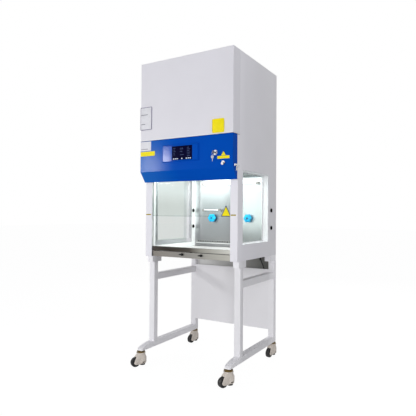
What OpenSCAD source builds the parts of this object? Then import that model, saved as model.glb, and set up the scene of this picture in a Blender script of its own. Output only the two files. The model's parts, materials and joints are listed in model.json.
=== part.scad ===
// Class II biosafety cabinet on a wheeled stand.
// Millimetres, +Z up, front towards -Y. The origin is on the floor, in the middle of the footprint.
// Depths are given as distances from the casing's back face, which stands at Y = rear_y.

/* [Casing] */
// Width over the side panels
casing_w = 680; // [676:1:684]
// Depth from the upper front face to the back face
casing_d = 649; // [645:1:652]
// Height of the casing's underside above the floor
casing_z = 701; // [698:1:704]
// Overall height to the top panel
overall_h = 1952; // [1945:1:1960]
// Thickness of the double side walls, outer skin to liner
wall_t = 49; // [49:1:50]
// Painted sheet thickness
sheet = 2; // [1.5:0.1:2]

/* [Sash] */
// Height of the sash's lower edge as parked for work
sash_z = 964; // [950:1:980]
// Height of the glass
sash_h = 456; // [450:1:465]
// Thickness of the glass
glass_t = 5; // [4:0.5:5]

/* [Stand] */
// Width of a leg
leg_w = 40; // [38:1:40]
// Depth of a leg
leg_d = 37.4; // [36:0.2:38]
// Underside of the foot rails above the floor
foot_z = 99.8; // [99.8:0.1:100.2]
// Turn of the front casters away from straight ahead
front_turn = 28; // [0:1:40]
// Turn of the rear casters away from straight ahead
rear_turn = 8; // [0:1:20]

/* [Hidden] */
$fn = 48;

rear_y = 348;
half_w = casing_w / 2;
inner_w = half_w - wall_t;
top_z = overall_h - sheet;
function from_back(d) = rear_y - d;

// painted sheet-metal lines
front_y = from_back(casing_d);
post_y = from_back(586.9);
hood_edge_y = from_back(594);
flank_y = from_back(595);
cover_edge_y = from_back(563);
cover_flank_y = from_back(564);
skin_back_y = from_back(sheet);
lip_y = from_back(601.8);
lip_z = 1184.7;
ridge_z = 1249.4;
hood_top = 1447.4;
cover_z = 1450;
slant = atan2(ridge_z - lip_z, lip_y - front_y);
hinge_y = front_y + 4;
hinge_z = hood_top - 4;
hinge_r = 2;

// side windows
win_y = [from_back(519.9), from_back(137)];
win_z = [799.2, 1243.3];
pane_x = inner_w + 0.5;
pane_y = [win_y[0] - 28, win_y[1] + 28];
pane_z = [win_z[0] - 28, 1247];
port_y = from_back(89);
port_z = [889, 1008];
port_r = 10;

// stainless chamber
steel = 1.5;
liner_x = inner_w + steel;
liner_y = from_back(565);
liner_back = from_back(60);
wall_y = liner_back - steel;
liner_top = 1255;
pan_z = casing_z + sheet;
floor_z = 740;
lip_top = 767;

// sash and counterbalance
sash_y = from_back(572.5);
sash_x = inner_w + 10;
rail_x = inner_w + 17;
cable_x = inner_w + 9;
pulley_r = 14.25;
pulley_z = 1900;
pulley_y = sash_y + pulley_r;
weight_y = sash_y + 2 * pulley_r;
weight_z = 1459;
weight_h = 214;
shaft_r = 6;

// air path
fan_y = from_back(228);
fan_z = 1560;
fan_r = 88;
deck_z = 1398;
scroll_w = 80;
scroll_start = 215;
scroll_turn = 325;

// radial gap of a part that turns in a bore
run_gap = 0.05;

// stand
leg_x = half_w - 1;
leg_top = 661;
front_leg_y = from_back(544.2);
rear_leg_y = from_back(33.3);
foot_top = 135.8;
nose_y = from_back(667);
nose_r = 8;
tube = 2.5;
stem_x = 320;
front_stem_y = from_back(651);
rear_stem_y = from_back(15);
wheel_r = 30;
wheel_half = 12;
wheel_back = 38;
pad_back = 10;

// mains lead
cord_r = 4;
coil_r = 47;
coil_center = [231, from_back(23), 418];
coil_half_y = 8;
coil_half_r = 16;
plug_at = [280, from_back(14), 388];
gland = [234, from_back(27)];
cord_points = [
    [234, 321, 689], [234.3, 321, 683], [235.5, 321, 675], [238, 321, 665], [242, 321, 653],
    [247, 321, 641], [252.6, 321, 628], [258.5, 321, 614], [264.2, 321, 600], [269.5, 321, 585],
    [274, 321, 569], [277.6, 321, 552], [280, 321, 534], [281.4, 321, 516], [282, 321, 498],
    [282, 321, 480], [282, 321, 462], [282, 321, 446]];

// A plate or block between two corners
module slab(a, b) translate(a) cube(b - a);

// A profile drawn in Y and Z, extruded along X from x0 to x1
module along_x(x0, x1) translate([x0, 0, 0]) rotate([90, 0, 90]) linear_extrude(x1 - x0) children();

// A round bar along X, along Y or along Z
module rod_x(r, x0, x1, y, z) translate([x0, y, z]) rotate([0, 90, 0]) cylinder(r = r, h = x1 - x0);
module rod_y(r, x, y0, y1, z) translate([x, y1, z]) rotate([90, 0, 0]) cylinder(r = r, h = y1 - y0);
module rod_z(r, x, y, z0, z1) translate([x, y, z0]) cylinder(r = r, h = z1 - z0);

// The children as drawn and mirrored to the left
module both_sides() {
    children();
    mirror([1, 0, 0]) children();
}

// ---------------------------------------------------------------- casing

// Opening of the side window, cut right through from x0 to x1
module window_cut(x0, x1, grow = 0)
    slab([x0, win_y[0] - grow, win_z[0] - grow], [x1, win_y[1] + grow, win_z[1] + grow]);

// The glass pane, or a plate of its size
module pane(x0, x1) slab([x0, pane_y[0], pane_z[0]], [x1, pane_y[1], pane_z[1]]);

// The right side: outer skin, folded post front, flanges, window sleeve and the hood's pivot arm
module side_shape() {
    edge = [[post_y, casing_z], [skin_back_y, casing_z], [skin_back_y, top_z], [cover_edge_y, top_z],
        [cover_edge_y, hood_top], [hood_edge_y, hood_top], [hood_edge_y, lip_z + 6], [post_y, lip_z + 6]];
    skin_x = half_w - sheet;
    arm_x = skin_x - 11;
    difference() {
        union() {
            along_x(skin_x, half_w) polygon(edge);
            slab([inner_w, post_y, casing_z], [skin_x, post_y + sheet, lip_z + 6]);
            slab([inner_w, post_y + sheet, casing_z], [skin_x, skin_back_y, pan_z]);
            slab([skin_x - 14, hood_edge_y, lip_z + 6], [skin_x, hood_edge_y + sheet, hood_top]);
            slab([skin_x - sheet, cover_flank_y - 14, cover_z + 4], [skin_x, cover_edge_y + 6, top_z - 4]);
            slab([skin_x - 14, skin_back_y - sheet, pan_z], [skin_x, skin_back_y, top_z]);
            // window sleeve with the flange that carries the pane
            difference() {
                union() {
                    window_cut(pane_x + glass_t, skin_x, sheet);
                    pane(pane_x + glass_t, pane_x + glass_t + sheet);
                }
                window_cut(liner_x - 1, skin_x + 1);
            }
            slab([arm_x, hinge_y - 1.4, hinge_z - 10], [arm_x + 3, hood_edge_y + sheet, hinge_z + 1.2]);
            slab([arm_x, hood_edge_y, hinge_z - 30], [skin_x, hood_edge_y + sheet, hinge_z - 10]);
            rod_x(hinge_r, arm_x, skin_x - 1.5, hinge_y, hinge_z);
        }
        window_cut(skin_x - 1, half_w + 1);
        for (z = port_z) rod_x(port_r, skin_x - 1, half_w + 1, port_y, z);
    }
}

module side_right() color("whitesmoke") {
    side_shape();
    // keeper stud of the side catch
    rod_x(2, half_w, half_w + 7, keeper_at[0], keeper_at[1]);
    rod_x(3.5, half_w, half_w + 1, keeper_at[0] + 1, keeper_at[1]);
}

module side_left() color("whitesmoke") mirror([1, 0, 0]) side_shape();

module window_glass() color("lightcyan", 0.4) both_sides() pane(pane_x, pane_x + glass_t);

// Plan of the liner at its outer face, drawn in X and Y, with r as the corner radius
module liner_plan(x, y, r) {
    translate([-x, liner_y]) square([2 * x, y - r - liner_y]);
    translate([-x + r, y - 2 * r]) square([2 * (x - r), 2 * r]);
    for (s = [-1, 1]) translate([s * (x - r), y - r]) circle(r);
}

module liner() color("silver") difference() {
    union() {
        translate([0, 0, pan_z + steel]) linear_extrude(liner_top - pan_z - steel) difference() {
            liner_plan(liner_x, liner_back, 12);
            translate([0, -1]) liner_plan(inner_w, wall_y + 1, 10.5);
        }
        both_sides()
            slab([liner_x, liner_y + 40, liner_top - steel], [half_w - sheet, liner_back, liner_top]);
    }
    pane(-half_w, half_w);
    slab([-270, wall_y - 1, 772], [270, liner_back + 1, 784]);
    for (z = port_z) rod_x(port_r, -half_w, half_w, port_y, z);
}

// Black round plugs in the skin and in the liner, both sides
module port_plugs() color("black") both_sides() for (z = port_z) {
    rod_x(port_r - run_gap, half_w - 6, half_w, port_y, z);
    rod_x(12, half_w, half_w + 2.5, port_y, z);
    rod_x(port_r - run_gap, inner_w, inner_w + 6, port_y, z);
    rod_x(12, inner_w - 2.5, inner_w, port_y, z);
}

module back_panel() color("whitesmoke") {
    slab([-half_w, skin_back_y, casing_z], [half_w, rear_y, top_z]);
    // stiffening folds behind the return duct
    for (x = [-110, 110]) slab([x - 12, skin_back_y - 10, 760], [x + 12, skin_back_y, 1380]);
}

module top_panel() color("whitesmoke") {
    slot = [112, 9];
    rows = 14;
    out_y = [from_back(430), from_back(150)];
    pitch = (out_y[1] - out_y[0]) / rows;
    translate([0, 0, top_z]) linear_extrude(sheet) difference() {
        translate([-half_w, front_y]) square([casing_w, casing_d]);
        for (x = [-61, 61], i = [0 : rows - 1])
            translate([x - slot[0] / 2, out_y[0] + (i + 0.5) * pitch - slot[1] / 2]) square(slot);
    }
    // low rim round the exhaust outlet
    difference() {
        slab([-135, out_y[0] - 12, overall_h], [135, out_y[1] + 12, overall_h + 8]);
        slab([-131, out_y[0] - 8, overall_h - 1], [131, out_y[1] + 8, overall_h + 9]);
    }
}

// Outer U of the upper front cover, seen from above
module cover_plan(x, y0, r) {
    translate([-x, y0 + r]) square([2 * x, cover_flank_y - y0 - r]);
    translate([-x + r, y0]) square([2 * (x - r), 2 * r]);
    for (s = [-1, 1]) translate([s * (x - r), y0 + r]) circle(r);
}

module front_cover() color("whitesmoke") {
    translate([0, 0, cover_z]) linear_extrude(top_z - cover_z) difference() {
        cover_plan(half_w, front_y, 4);
        translate([0, 0.01]) cover_plan(half_w - sheet, front_y + sheet, 2);
    }
    slab([-half_w + 6, front_y + sheet, cover_z], [half_w - 6, front_y + 26, cover_z + sheet]);
    slab([-half_w + 6, front_y + sheet, top_z - sheet], [half_w - 6, front_y + 26, top_z]);
}

// ---------------------------------------------------------------- stainless pan, lip and grilles

drain = [120, from_back(190)];
catch_x = [-54, 87];
pan_y = from_back(579);

module base_pan() color("silver") difference() {
    union() {
        slab([-inner_w - 22, pan_y, pan_z], [inner_w + 22, skin_back_y, pan_z + steel]);
        slab([-inner_w + 1, pan_y, pan_z + steel], [inner_w - 1, pan_y + steel, 738]);
        both_sides() {
            slab([262, from_back(462), pan_z + steel], [264, from_back(75), floor_z - 13]);
            slab([264, from_back(462), floor_z - 15], [284, from_back(75), floor_z - 13]);
        }
        rod_z(13, drain[0], drain[1], 674, pan_z);
        rod_z(7, drain[0], drain[1], 656, 674);
    }
    rod_z(4, drain[0], drain[1], 655, pan_z + steel + 1);
    rod_y(3 + run_gap, drain[0], drain[1] - 14, drain[1] - 6, 688);
    for (x = catch_x) rod_y(2.5 + run_gap, x, pan_y - 1, pan_y + steel + 1, 724);
}

module drain_lever() color("firebrick") {
    rod_y(3, drain[0], drain[1] - 20, drain[1] - 7, 688);
    slab([drain[0] - 7, drain[1] - 20, 684], [drain[0] + 52, drain[1] - 16, 692]);
}

// Quarter-turn catch of the front pan
module pan_catch(x) color("black") {
    rod_y(2.5, x, pan_y - 2, pan_y + 9, 724);
    rod_y(8, x, pan_y - 6, pan_y - 0.4, 724);
    slab([x - 18, pan_y - 12, 720.5], [x + 8, pan_y - 6, 727.5]);
    slab([x - 3, pan_y + 7, 710], [x + 3, pan_y + 9, 728]);
}

module front_lip() color("silver") {
    y0 = from_back(581);
    along_x(-inner_w + 2.5, inner_w - 2.5) polygon([
        [y0, 742], [y0, lip_top], [y0 + 30, lip_top], [y0 + 48, 742.5], [y0 + 56, 742.5],
        [y0 + 56, 741], [y0 + 47.2, 741], [y0 + 29.2, 765.5], [y0 + steel, 765.5], [y0 + steel, 742]]);
    // brackets that carry the lip on the pan
    for (x = [-inner_w + 5, -1, inner_w - 7])
        slab([x, pan_y + 4, pan_z + steel], [x + 2, y0 + 28, 765.6]);
}

module air_grilles() color("silver") {
    // intake grille between the lip and the tray
    translate([0, 0, 741]) linear_extrude(steel) difference() {
        translate([-inner_w, from_back(525)]) square([2 * inner_w, 55]);
        for (i = [-17 : 17], y = [519, 495])
            translate([i * 16 - 4, from_back(y)]) square([8, 19]);
    }
    // return grille at the foot of the rear wall
    translate([0, wall_y, 0]) rotate([90, 0, 0]) linear_extrude(steel) difference() {
        translate([-280, 763]) square([560, 25]);
        for (i = [-13 : 12]) translate([i * 20.6 + 5.3, 773.5]) square([10, 9]);
    }
}

module work_tray() color("silver") {
    y0 = from_back(468);
    y1 = from_back(68);
    difference() {
        slab([-284, y0, floor_z - 13], [284, y1, floor_z]);
        slab([-282.5, y0 + steel, floor_z - 14], [282.5, y1 - steel, floor_z - steel]);
        slab([-266, y0 + 16, floor_z - 0.6], [266, y1 - 16, floor_z + 1]);
    }
    // lifting knobs
    for (x = [-200, 200]) rod_z(7, x, y0 + 30, floor_z - 0.6, floor_z + 3.4);
}

// ---------------------------------------------------------------- control hood

key_at = [222.6, 1340.6];
lock_at = [276.4, 1279];
catch_at = [from_back(608.5), 1266.5];
catch_r = 2.5;
keeper_at = [from_back(591.5), 1253.5];

module hood_shell() color("royalblue") {
    t = sheet;
    bend = t * (1 - sin(slant)) / cos(slant);
    difference() {
        union() {
            along_x(-half_w, half_w) polygon([
                [front_y, hood_top], [front_y, ridge_z], [lip_y, lip_z],
                [lip_y + t * sin(slant), lip_z + t * cos(slant)],
                [front_y + t, ridge_z + bend], [front_y + t, hood_top]]);
            slab([-half_w, lip_y, lip_z], [half_w, flank_y, lip_z + t]);
            slab([-half_w + 20, front_y, hood_top - t], [half_w - 20, front_y + 20, hood_top]);
            both_sides() {
                along_x(half_w - t, half_w) polygon([
                    [front_y, ridge_z], [lip_y, lip_z], [flank_y, lip_z], [flank_y, hood_top],
                    [front_y, hood_top]]);
                rod_x(4, half_w - 8.5, half_w - t, hinge_y, hinge_z);
            }
        }
        both_sides() rod_x(hinge_r + run_gap, half_w - 9, half_w - t - 1, hinge_y, hinge_z);
        rod_y(8, key_at[0], front_y - 1, front_y + t + 1, key_at[1]);
        rod_y(9 + run_gap, lock_at[0], front_y - 1, front_y + t + 1, lock_at[1]);
    }
}

// Raised display housing with drafted sides and a window for the screen
module display_bezel() color("royalblue") difference() {
    hull() {
        slab([-159, front_y - 1, 1301], [112, front_y, 1408]);
        slab([-152, front_y - 9, 1307], [105, front_y - 8, 1402]);
    }
    slab([-83, front_y - 10, 1311], [66.5, front_y - 4, 1397]);
}

module display_screen() color("midnightblue") slab([-83, front_y - 8, 1311], [66.5, front_y - 4, 1397]);

module hood_fittings() color("gainsboro") {
    difference() {
        union() {
            rod_y(8 - run_gap, key_at[0], front_y, front_y + 26, key_at[1]);
            rod_y(15, key_at[0], front_y - 2, front_y, key_at[1]);
            rod_y(12, key_at[0], front_y - 5, front_y - 2, key_at[1]);
        }
        rod_y(5 + run_gap, key_at[0], front_y - 6, front_y + 20, key_at[1]);
    }
    // pivot block of the side catch
    slab([half_w, catch_at[0] - 6.5, 1233], [half_w + 3.5, catch_at[0] + 6.5, 1273]);
    rod_x(catch_r, half_w + 3.5, half_w + 8.5, catch_at[0], catch_at[1]);
}

// A flat key with a round bow, seen side-on: the bow's centre and the shank's length
module flat_key(bow_r, shank) {
    circle(bow_r);
    translate([-2, -shank]) square([4, shank]);
}

module key() color("gainsboro") {
    x = key_at[0];
    z = key_at[1];
    rod_y(5, x, front_y - 6, front_y + 18, z);
    difference() {
        union() {
            slab([x - 1.1, front_y - 16, z - 4], [x + 1.1, front_y - 6, z + 4]);
            rod_x(11, x - 1.1, x + 1.1, front_y - 24, z);
        }
        rod_x(2, x - 2, x + 2, front_y - 28, z - 3);
    }
    // split ring and the spare key on it
    translate([x, front_y - 28, z - 10]) rotate([90, 0, 0]) rotate_extrude() translate([8, 0]) circle(1.1);
    translate([x - 3, front_y - 27, z - 28]) rotate([90, 0, 0]) linear_extrude(2) difference() {
        flat_key(10, 26);
        translate([3, 6]) circle(2);
    }
}

module panel_lock() color("gainsboro") {
    x = lock_at[0];
    z = lock_at[1];
    rod_y(9, x, front_y - 1, front_y + 60, z);
    rod_y(11.5, x, front_y - 4, front_y - 0.4, z);
    slab([x - 6, front_y + 57.6, z - 56], [x + 6, front_y + 60, z + 6]);
    // key left in the lock
    slab([x - 1, front_y - 12, z - 3], [x + 1, front_y - 4, z + 3]);
    translate([x, front_y - 12, z - 6]) rotate([90, 0, 0]) linear_extrude(2) circle(8);
}

module side_catch() color("darkgray") difference() {
    union() {
        slab([half_w + 3.8, from_back(640.5), 1263.5], [half_w + 7.2, from_back(582.5), 1269.5]);
        slab([half_w + 3.8, from_back(585.5), 1260.5], [half_w + 7.2, from_back(582.5), 1269.5]);
        rod_x(6, half_w + 3.8, half_w + 8, catch_at[0], catch_at[1]);
        slab([half_w + 3.8, from_back(640.5), 1257], [half_w + 10, from_back(637.5), 1269.5]);
    }
    rod_x(catch_r + run_gap, half_w + 3, half_w + 9, catch_at[0], catch_at[1]);
}

// ---------------------------------------------------------------- sash and counterbalance

module sash_glass() color("lightcyan", 0.4)
    slab([-sash_x, sash_y - glass_t / 2, sash_z + 3], [sash_x, sash_y + glass_t / 2, sash_z + sash_h]);

module sash_trim() color("gainsboro") {
    // edge strip under the glass, with a finger lip
    slab([-inner_w + 3, sash_y - glass_t / 2, sash_z], [inner_w - 3, sash_y + glass_t / 2, sash_z + 3]);
    slab([-inner_w + 3, sash_y - glass_t / 2 - 4, sash_z],
        [inner_w - 3, sash_y - glass_t / 2, sash_z + 5]);
    // cable clips that straddle the upper corners
    both_sides() difference() {
        slab([inner_w + 3, sash_y - 4.5, sash_z + sash_h - 24], [cable_x + 4, sash_y + 4.5, sash_z + sash_h + 14]);
        slab([inner_w + 2, sash_y - glass_t / 2, sash_z + sash_h - 25],
            [sash_x, sash_y + glass_t / 2, sash_z + sash_h]);
    }
}

module sash_rails() color("silver") both_sides() {
    y0 = sash_y - 7.5;
    y1 = sash_y + 7.5;
    skin_x = half_w - sheet;
    difference() {
        slab([inner_w, y0, lip_top + 1], [rail_x, y1, 1700]);
        slab([inner_w - 1, y0 + 2, lip_top], [rail_x - 2, y1 - 2, 1701]);
    }
    // rail brackets to the skin
    for (z = [800, 1150]) slab([rail_x, sash_y - 2, z], [skin_x, sash_y + 2, z + 16]);
    slab([rail_x, sash_y - 2, 1680], [skin_x - sheet, sash_y + 2, 1696]);
    // bearing plate of the cross shaft
    difference() {
        union() {
            slab([cable_x + 14, pulley_y - 14, pulley_z - 18], [cable_x + 18, pulley_y + 14, pulley_z + 30]);
            slab([cable_x + 18, pulley_y - 14, pulley_z + 28], [skin_x - sheet, pulley_y + 14, pulley_z + 30]);
        }
        rod_x(shaft_r + run_gap, cable_x + 13, cable_x + 19, pulley_y, pulley_z);
    }
}

module counterweights() color("dimgray") both_sides() {
    slab([inner_w + 5, weight_y - 17, weight_z], [inner_w + 41, weight_y + 13, weight_z + weight_h]);
    rod_z(4, cable_x, weight_y, weight_z + weight_h, weight_z + weight_h + 10);
}

// Grooved pulley, turned about X at the origin
module pulley() rotate([0, 90, 0]) rotate_extrude() difference() {
    translate([0, -5]) square([pulley_r + 4, 10]);
    translate([pulley_r + 3, 0]) circle(3);
}

module pulley_shaft() color("gray") {
    rod_x(shaft_r, -cable_x - 22, cable_x + 22, pulley_y, pulley_z);
    both_sides() translate([cable_x, pulley_y, pulley_z]) pulley();
}

// ---------------------------------------------------------------- air path

module diffuser() color("silver") translate([0, 0, liner_top]) linear_extrude(steel) difference() {
    translate([-half_w + 12, liner_y + 4]) square([casing_w - 24, 498]);
    for (i = [-9 : 9], j = [0 : 15]) translate([i * 30, liner_y + 30 + j * 29]) circle(6);
}

// Pleated pack in a frame: size is the outer box, n the number of pleats along X
module pleated_filter(lo, hi, n) {
    wall = 12;
    difference() {
        slab(lo, hi);
        slab([lo[0] + wall, lo[1] + wall, lo[2] - 1], [hi[0] - wall, hi[1] - wall, hi[2] + 1]);
    }
    x0 = lo[0] + wall;
    pitch = (hi[0] - lo[0] - 2 * wall) / n;
    low = lo[2] + 8;
    high = hi[2] - 10;
    crest = [for (i = [0 : n]) each [[x0 + i * pitch, low], if (i < n) [x0 + (i + 0.5) * pitch, high]]];
    root = [for (i = [n : -1 : 0]) each [[x0 + i * pitch, low + 2], if (i > 0) [x0 + (i - 0.5) * pitch, high + 2]]];
    translate([0, hi[1] - wall, 0]) rotate([90, 0, 0]) linear_extrude(hi[1] - lo[1] - 2 * wall)
        polygon(concat(crest, root));
}

module supply_filter() color("ivory")
    pleated_filter([-285, from_back(560), liner_top + steel], [285, from_back(75), liner_top + 75], 24);

module exhaust_filter() color("ivory")
    pleated_filter([-150, from_back(445), 1870], [150, from_back(135), top_z], 14);

// Outline of the blower scroll in Y and Z, t outside its inner wall
function scroll(t) = concat(
    [for (a = [0 : 12.5 : scroll_turn]) let (r = 100 + t + 60 * a / scroll_turn)
        [fan_y + r * cos(scroll_start + a), fan_z + r * sin(scroll_start + a)]],
    [[fan_y - 160 - t, deck_z + sheet],
        [fan_y + (100 - t) * cos(scroll_start), deck_z + sheet]]);

module blower_housing() color("lightgray") {
    // deck across the casing, open under the outlet
    difference() {
        slab([-half_w + sheet, from_back(525), deck_z], [half_w - sheet, skin_back_y - 12, deck_z + sheet]);
        slab([-scroll_w, fan_y - 160, deck_z - 1], [scroll_w, fan_y - 84, deck_z + sheet + 1]);
    }
    difference() {
        along_x(-scroll_w - sheet, scroll_w + sheet) polygon(scroll(sheet));
        along_x(-scroll_w, scroll_w) polygon(scroll(0));
        slab([-scroll_w, fan_y - 160, deck_z], [scroll_w, fan_y - 84, deck_z + 8]);
        rod_x(74, -scroll_w - 3, scroll_w + 3, fan_y, fan_z);
    }
    // motor, its three arms and its shaft
    rod_x(4, -20, scroll_w + 14, fan_y, fan_z);
    rod_x(45, scroll_w + 14, scroll_w + 110, fan_y, fan_z);
    for (a = [30, 150, 270]) translate([scroll_w + sheet, fan_y, fan_z]) rotate([a, 0, 0])
        slab([0, 38, -6], [16, 92, 6]);
    for (x = [-scroll_w + 4, scroll_w - 16])
        slab([x, fan_y + 40, deck_z + sheet], [x + 12, fan_y + 70, fan_z - 103]);
}

// Forward-curved wheel: each blade is a thin bow between two radii
module impeller() color("slategray") {
    blades = 32;
    inner = 70;
    along_x(-66, 66) translate([fan_y, fan_z]) for (i = [0 : blades - 1]) rotate(i * 360 / blades)
        polygon([for (s = [0 : 4]) let (r = inner + s * 4.3, a = 7 * (1 - pow(s / 4 - 1, 2)))
                r * [cos(a), sin(a)],
            for (s = [4 : -1 : 0]) let (r = inner + s * 4.3, a = 7 * (1 - pow(s / 4 - 1, 2)) + 1.1)
                r * [cos(a), sin(a)]]);
    difference() {
        union() {
            for (x = [-68, 65]) rod_x(fan_r, x, x + 3, fan_y, fan_z);
        }
        rod_x(inner - 1, -70, 70, fan_y, fan_z);
    }
    difference() {
        union() {
            rod_x(fan_r - 1, -1, 1, fan_y, fan_z);
            rod_x(13, -18, 18, fan_y, fan_z);
        }
        rod_x(4 + run_gap, -21, 19, fan_y, fan_z);
    }
}

// ---------------------------------------------------------------- chamber fittings

// Tube along X between two holders that stand on the rear wall
module wall_tube(x0, x1, z, r) {
    y = wall_y - 15;
    rod_x(r, x0 + 16, x1 - 16, y, z);
    for (x = [x0, x1 - 16]) slab([x, y - r - 2, z - r - 3], [x + 16, wall_y, z + r + 3]);
}

module lamp() color("white") wall_tube(-218, 240, 1200, 6);

module uv_lamp() color("white") wall_tube(-216, -62, 1010, 5);

tap_x = [-131, 161];
tap_z = 952;
module tap_body(x) {
    rod_y(22, x, wall_y - 10, wall_y, tap_z);
    rod_y(3, x, wall_y - 24, wall_y - 10, tap_z);
    // ribbed hose tail under the valve, hidden behind the knob from ahead
    difference() {
        union() {
            rod_z(4, x, wall_y - 5, tap_z - 28, tap_z - 10);
            for (z = [28, 25.5, 23]) rod_z(4.8, x, wall_y - 5, tap_z - z, tap_z - z + 1.2);
        }
        rod_z(2.2, x, wall_y - 5, tap_z - 29, tap_z - 20);
    }
}

module tap_bodies() color("steelblue") for (x = tap_x) tap_body(x);

// Six-lobed knob on the tap's spindle
module tap_knob(x) color("deepskyblue") difference() {
    translate([x, wall_y - 11, tap_z]) rotate([90, 0, 0]) linear_extrude(16) difference() {
        circle(31);
        for (a = [30 : 60 : 330]) rotate(a) translate([39, 0]) circle(11);
    }
    rod_y(3 + run_gap, x, wall_y - 24.5, wall_y - 10, tap_z);
}

// ---------------------------------------------------------------- stand

module side_frame() {
    x0 = leg_x - leg_w;
    x1 = leg_x;
    back = rear_leg_y + leg_d;
    hollow_y = front_leg_y + leg_d - 22;
    difference() {
        union() {
            slab([x0, front_leg_y, foot_z + 10], [x1, front_leg_y + leg_d, leg_top]);
            slab([x0, rear_leg_y, foot_z + 10], [x1, back, leg_top]);
            slab([x0, front_leg_y + leg_d, 540.5], [x1, rear_leg_y, 581.8]);
            intersection() {
                along_x(x0, x1) polygon([[nose_y, foot_z], [back, foot_z], [back, foot_top],
                    [front_leg_y + 2, foot_top], [nose_y + 73, foot_top - 5], [nose_y + 35, 123.5],
                    [nose_y + 11, 115], [nose_y + 3, 109], [nose_y, 103]]);
                translate([0, 0, foot_z - 1]) linear_extrude(80) {
                    translate([x0, nose_y + nose_r]) square([leg_w, 1000]);
                    translate([x0 + nose_r, nose_y]) square([leg_w - 2 * nose_r, 2 * nose_r]);
                    for (x = [x0 + nose_r, x1 - nose_r]) translate([x, nose_y + nose_r]) circle(nose_r);
                }
            }
        }
        for (y = [front_leg_y, rear_leg_y])
            slab([x0 + tube, y + tube, foot_top - tube], [x1 - tube, y + leg_d - tube, leg_top + 1]);
        slab([x0 + tube, front_leg_y + leg_d - 1, 543], [x1 - tube, rear_leg_y + 1, 579.3]);
        slab([x0 + tube, hollow_y, foot_z + tube], [x1 - tube, back - tube, foot_top - tube + 0.1]);
    }
}

module stand_right() color("whitesmoke") side_frame();

module stand_left() color("whitesmoke") mirror([1, 0, 0]) side_frame();

module rear_beam() color("dimgray") {
    x = leg_x - leg_w;
    y = from_back(-3);
    slab([-x, y - 2, 588], [x, y, casing_z]);
    slab([-x, y - 10, 588], [x, y - 2, 590]);
    slab([-x, y - 10, casing_z - 2], [x, y - 2, casing_z]);
}

module rear_panel() color("whitesmoke") {
    x = leg_x - leg_w;
    y = rear_leg_y;
    slab([-x, y, 184.7], [x, y + steel, 598.8]);
    slab([-x, y + steel, 184.7], [x, y + 9, 184.7 + steel]);
    // upper edge with a notch for the lead
    slab([-x, y + steel, 598.8 - steel], [252, y + 9, 598.8]);
    slab([277, y + steel, 598.8 - steel], [x, y + 9, 598.8]);
    // peg that the coiled lead hangs on
    peg_z = coil_center[2] + coil_r - coil_half_r - 5.5;
    rod_y(5, coil_center[0], y + steel, y + 35, peg_z);
    rod_y(9, coil_center[0], y + 33, y + 36, peg_z);
}

// Channel bracket between a leg and the casing, with a tongue down the leg and its bolt
module bracket(y0, y1, tongue_y, tongue_side) {
    x0 = leg_x - leg_w;
    difference() {
        slab([x0, y0, leg_top], [leg_x, y1, casing_z]);
        slab([x0 + 3, y0 + 3, leg_top + 3], [leg_x - 3, y1 - 3, casing_z + 1]);
    }
    slab([x0 + 6, tongue_y, 611], [leg_x - 6, tongue_y + 3, leg_top]);
    translate([(x0 + leg_x) / 2, tongue_y + 1.5, 640]) rotate([90 * tongue_side, 0, 0])
        cylinder(r = 7, h = 7, $fn = 6);
}

module brackets() color("whitesmoke") both_sides() {
    bracket(from_back(563.6), from_back(468.7), front_leg_y + leg_d, -1);
    bracket(from_back(99.5), from_back(0), rear_leg_y - 3, 1);
}

// ---------------------------------------------------------------- levelling casters

// Places a caster: swivel axis at the stem, wheel ahead of it, turned by the caster's own angle
module at_caster(side, front)
    translate([side * stem_x, front ? front_stem_y : rear_stem_y, 0])
        rotate([0, 0, front ? -front_turn : -rear_turn]) children();

module caster_stems() color("darkgoldenrod") for (s = [-1, 1], f = [true, false]) at_caster(s, f) {
    rod_z(8, 0, 0, 64, 90);
    rod_z(26, 0, 0, 88.3, 96);
    rod_z(19, 0, 0, 96, foot_z);
}

module housing() color("antiquewhite") difference() {
    union() {
        rod_z(29, 0, 0, 81, 87.9);
        // bell over the levelling pad
        hull() {
            rod_z(25, 0, 0, 72, 82, $fn = 32);
            rod_z(26.5, 0, pad_back, 36, 56, $fn = 32);
        }
        hull() {
            rod_z(26.5, 0, pad_back, 30, 37, $fn = 32);
            rod_z(24.5, 0, pad_back, 20, 24, $fn = 32);
        }
        // cheeks over the wheel
        hull() {
            rod_z(24, 0, 0, 72, 82, $fn = 32);
            rod_x(13, -17, 17, -wheel_back, wheel_r - 2);
            rod_x(18, -16, 16, -21, 54);
            rod_x(12, -17, 17, -10, 27);
        }
    }
    rod_x(wheel_r + 2, -wheel_half - 1.2, wheel_half + 1.2, -wheel_back, wheel_r);
    rod_z(8 + run_gap, 0, 0, 63, 89);
    rod_z(6 + run_gap, 0, pad_back, 30, 62);
    rod_z(18.2, 0, pad_back, 10, 33);
    slab([-30, pad_back - 8, 24], [30, pad_back + 8, 32]);
}

// Housing with its axle, which runs through the two cheeks
module caster_housing(side, front) color("antiquewhite") at_caster(side, front) {
    housing();
    rod_x(4, -17, 17, -wheel_back, wheel_r);
}

module caster_wheel(side, front) color("black") at_caster(side, front)
    translate([0, -wheel_back, wheel_r]) rotate([0, 90, 0]) rotate_extrude() difference() {
        union() {
            translate([4 + run_gap, -wheel_half]) square([wheel_r - 8 - run_gap, 2 * wheel_half]);
            translate([4 + run_gap, -wheel_half + 4]) square([wheel_r - 4 - run_gap, 2 * wheel_half - 8]);
            for (s = [-1, 1]) translate([wheel_r - 4, s * (wheel_half - 4)]) circle(4);
        }
        for (s = [-1, 1]) translate([9, s * wheel_half - 2.5]) square([12, 5]);
    }

// Levelling pad with its thumb wheel and screw
module caster_pad(side, front) color("black") at_caster(side, front) {
    rod_z(17.5, 0, pad_back, 8, 14);
    rod_z(13, 0, pad_back, 14, 18);
    rod_z(17.3, 0, pad_back, 20, 29);
    rod_z(6, 0, pad_back, 18, 50);
}

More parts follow.
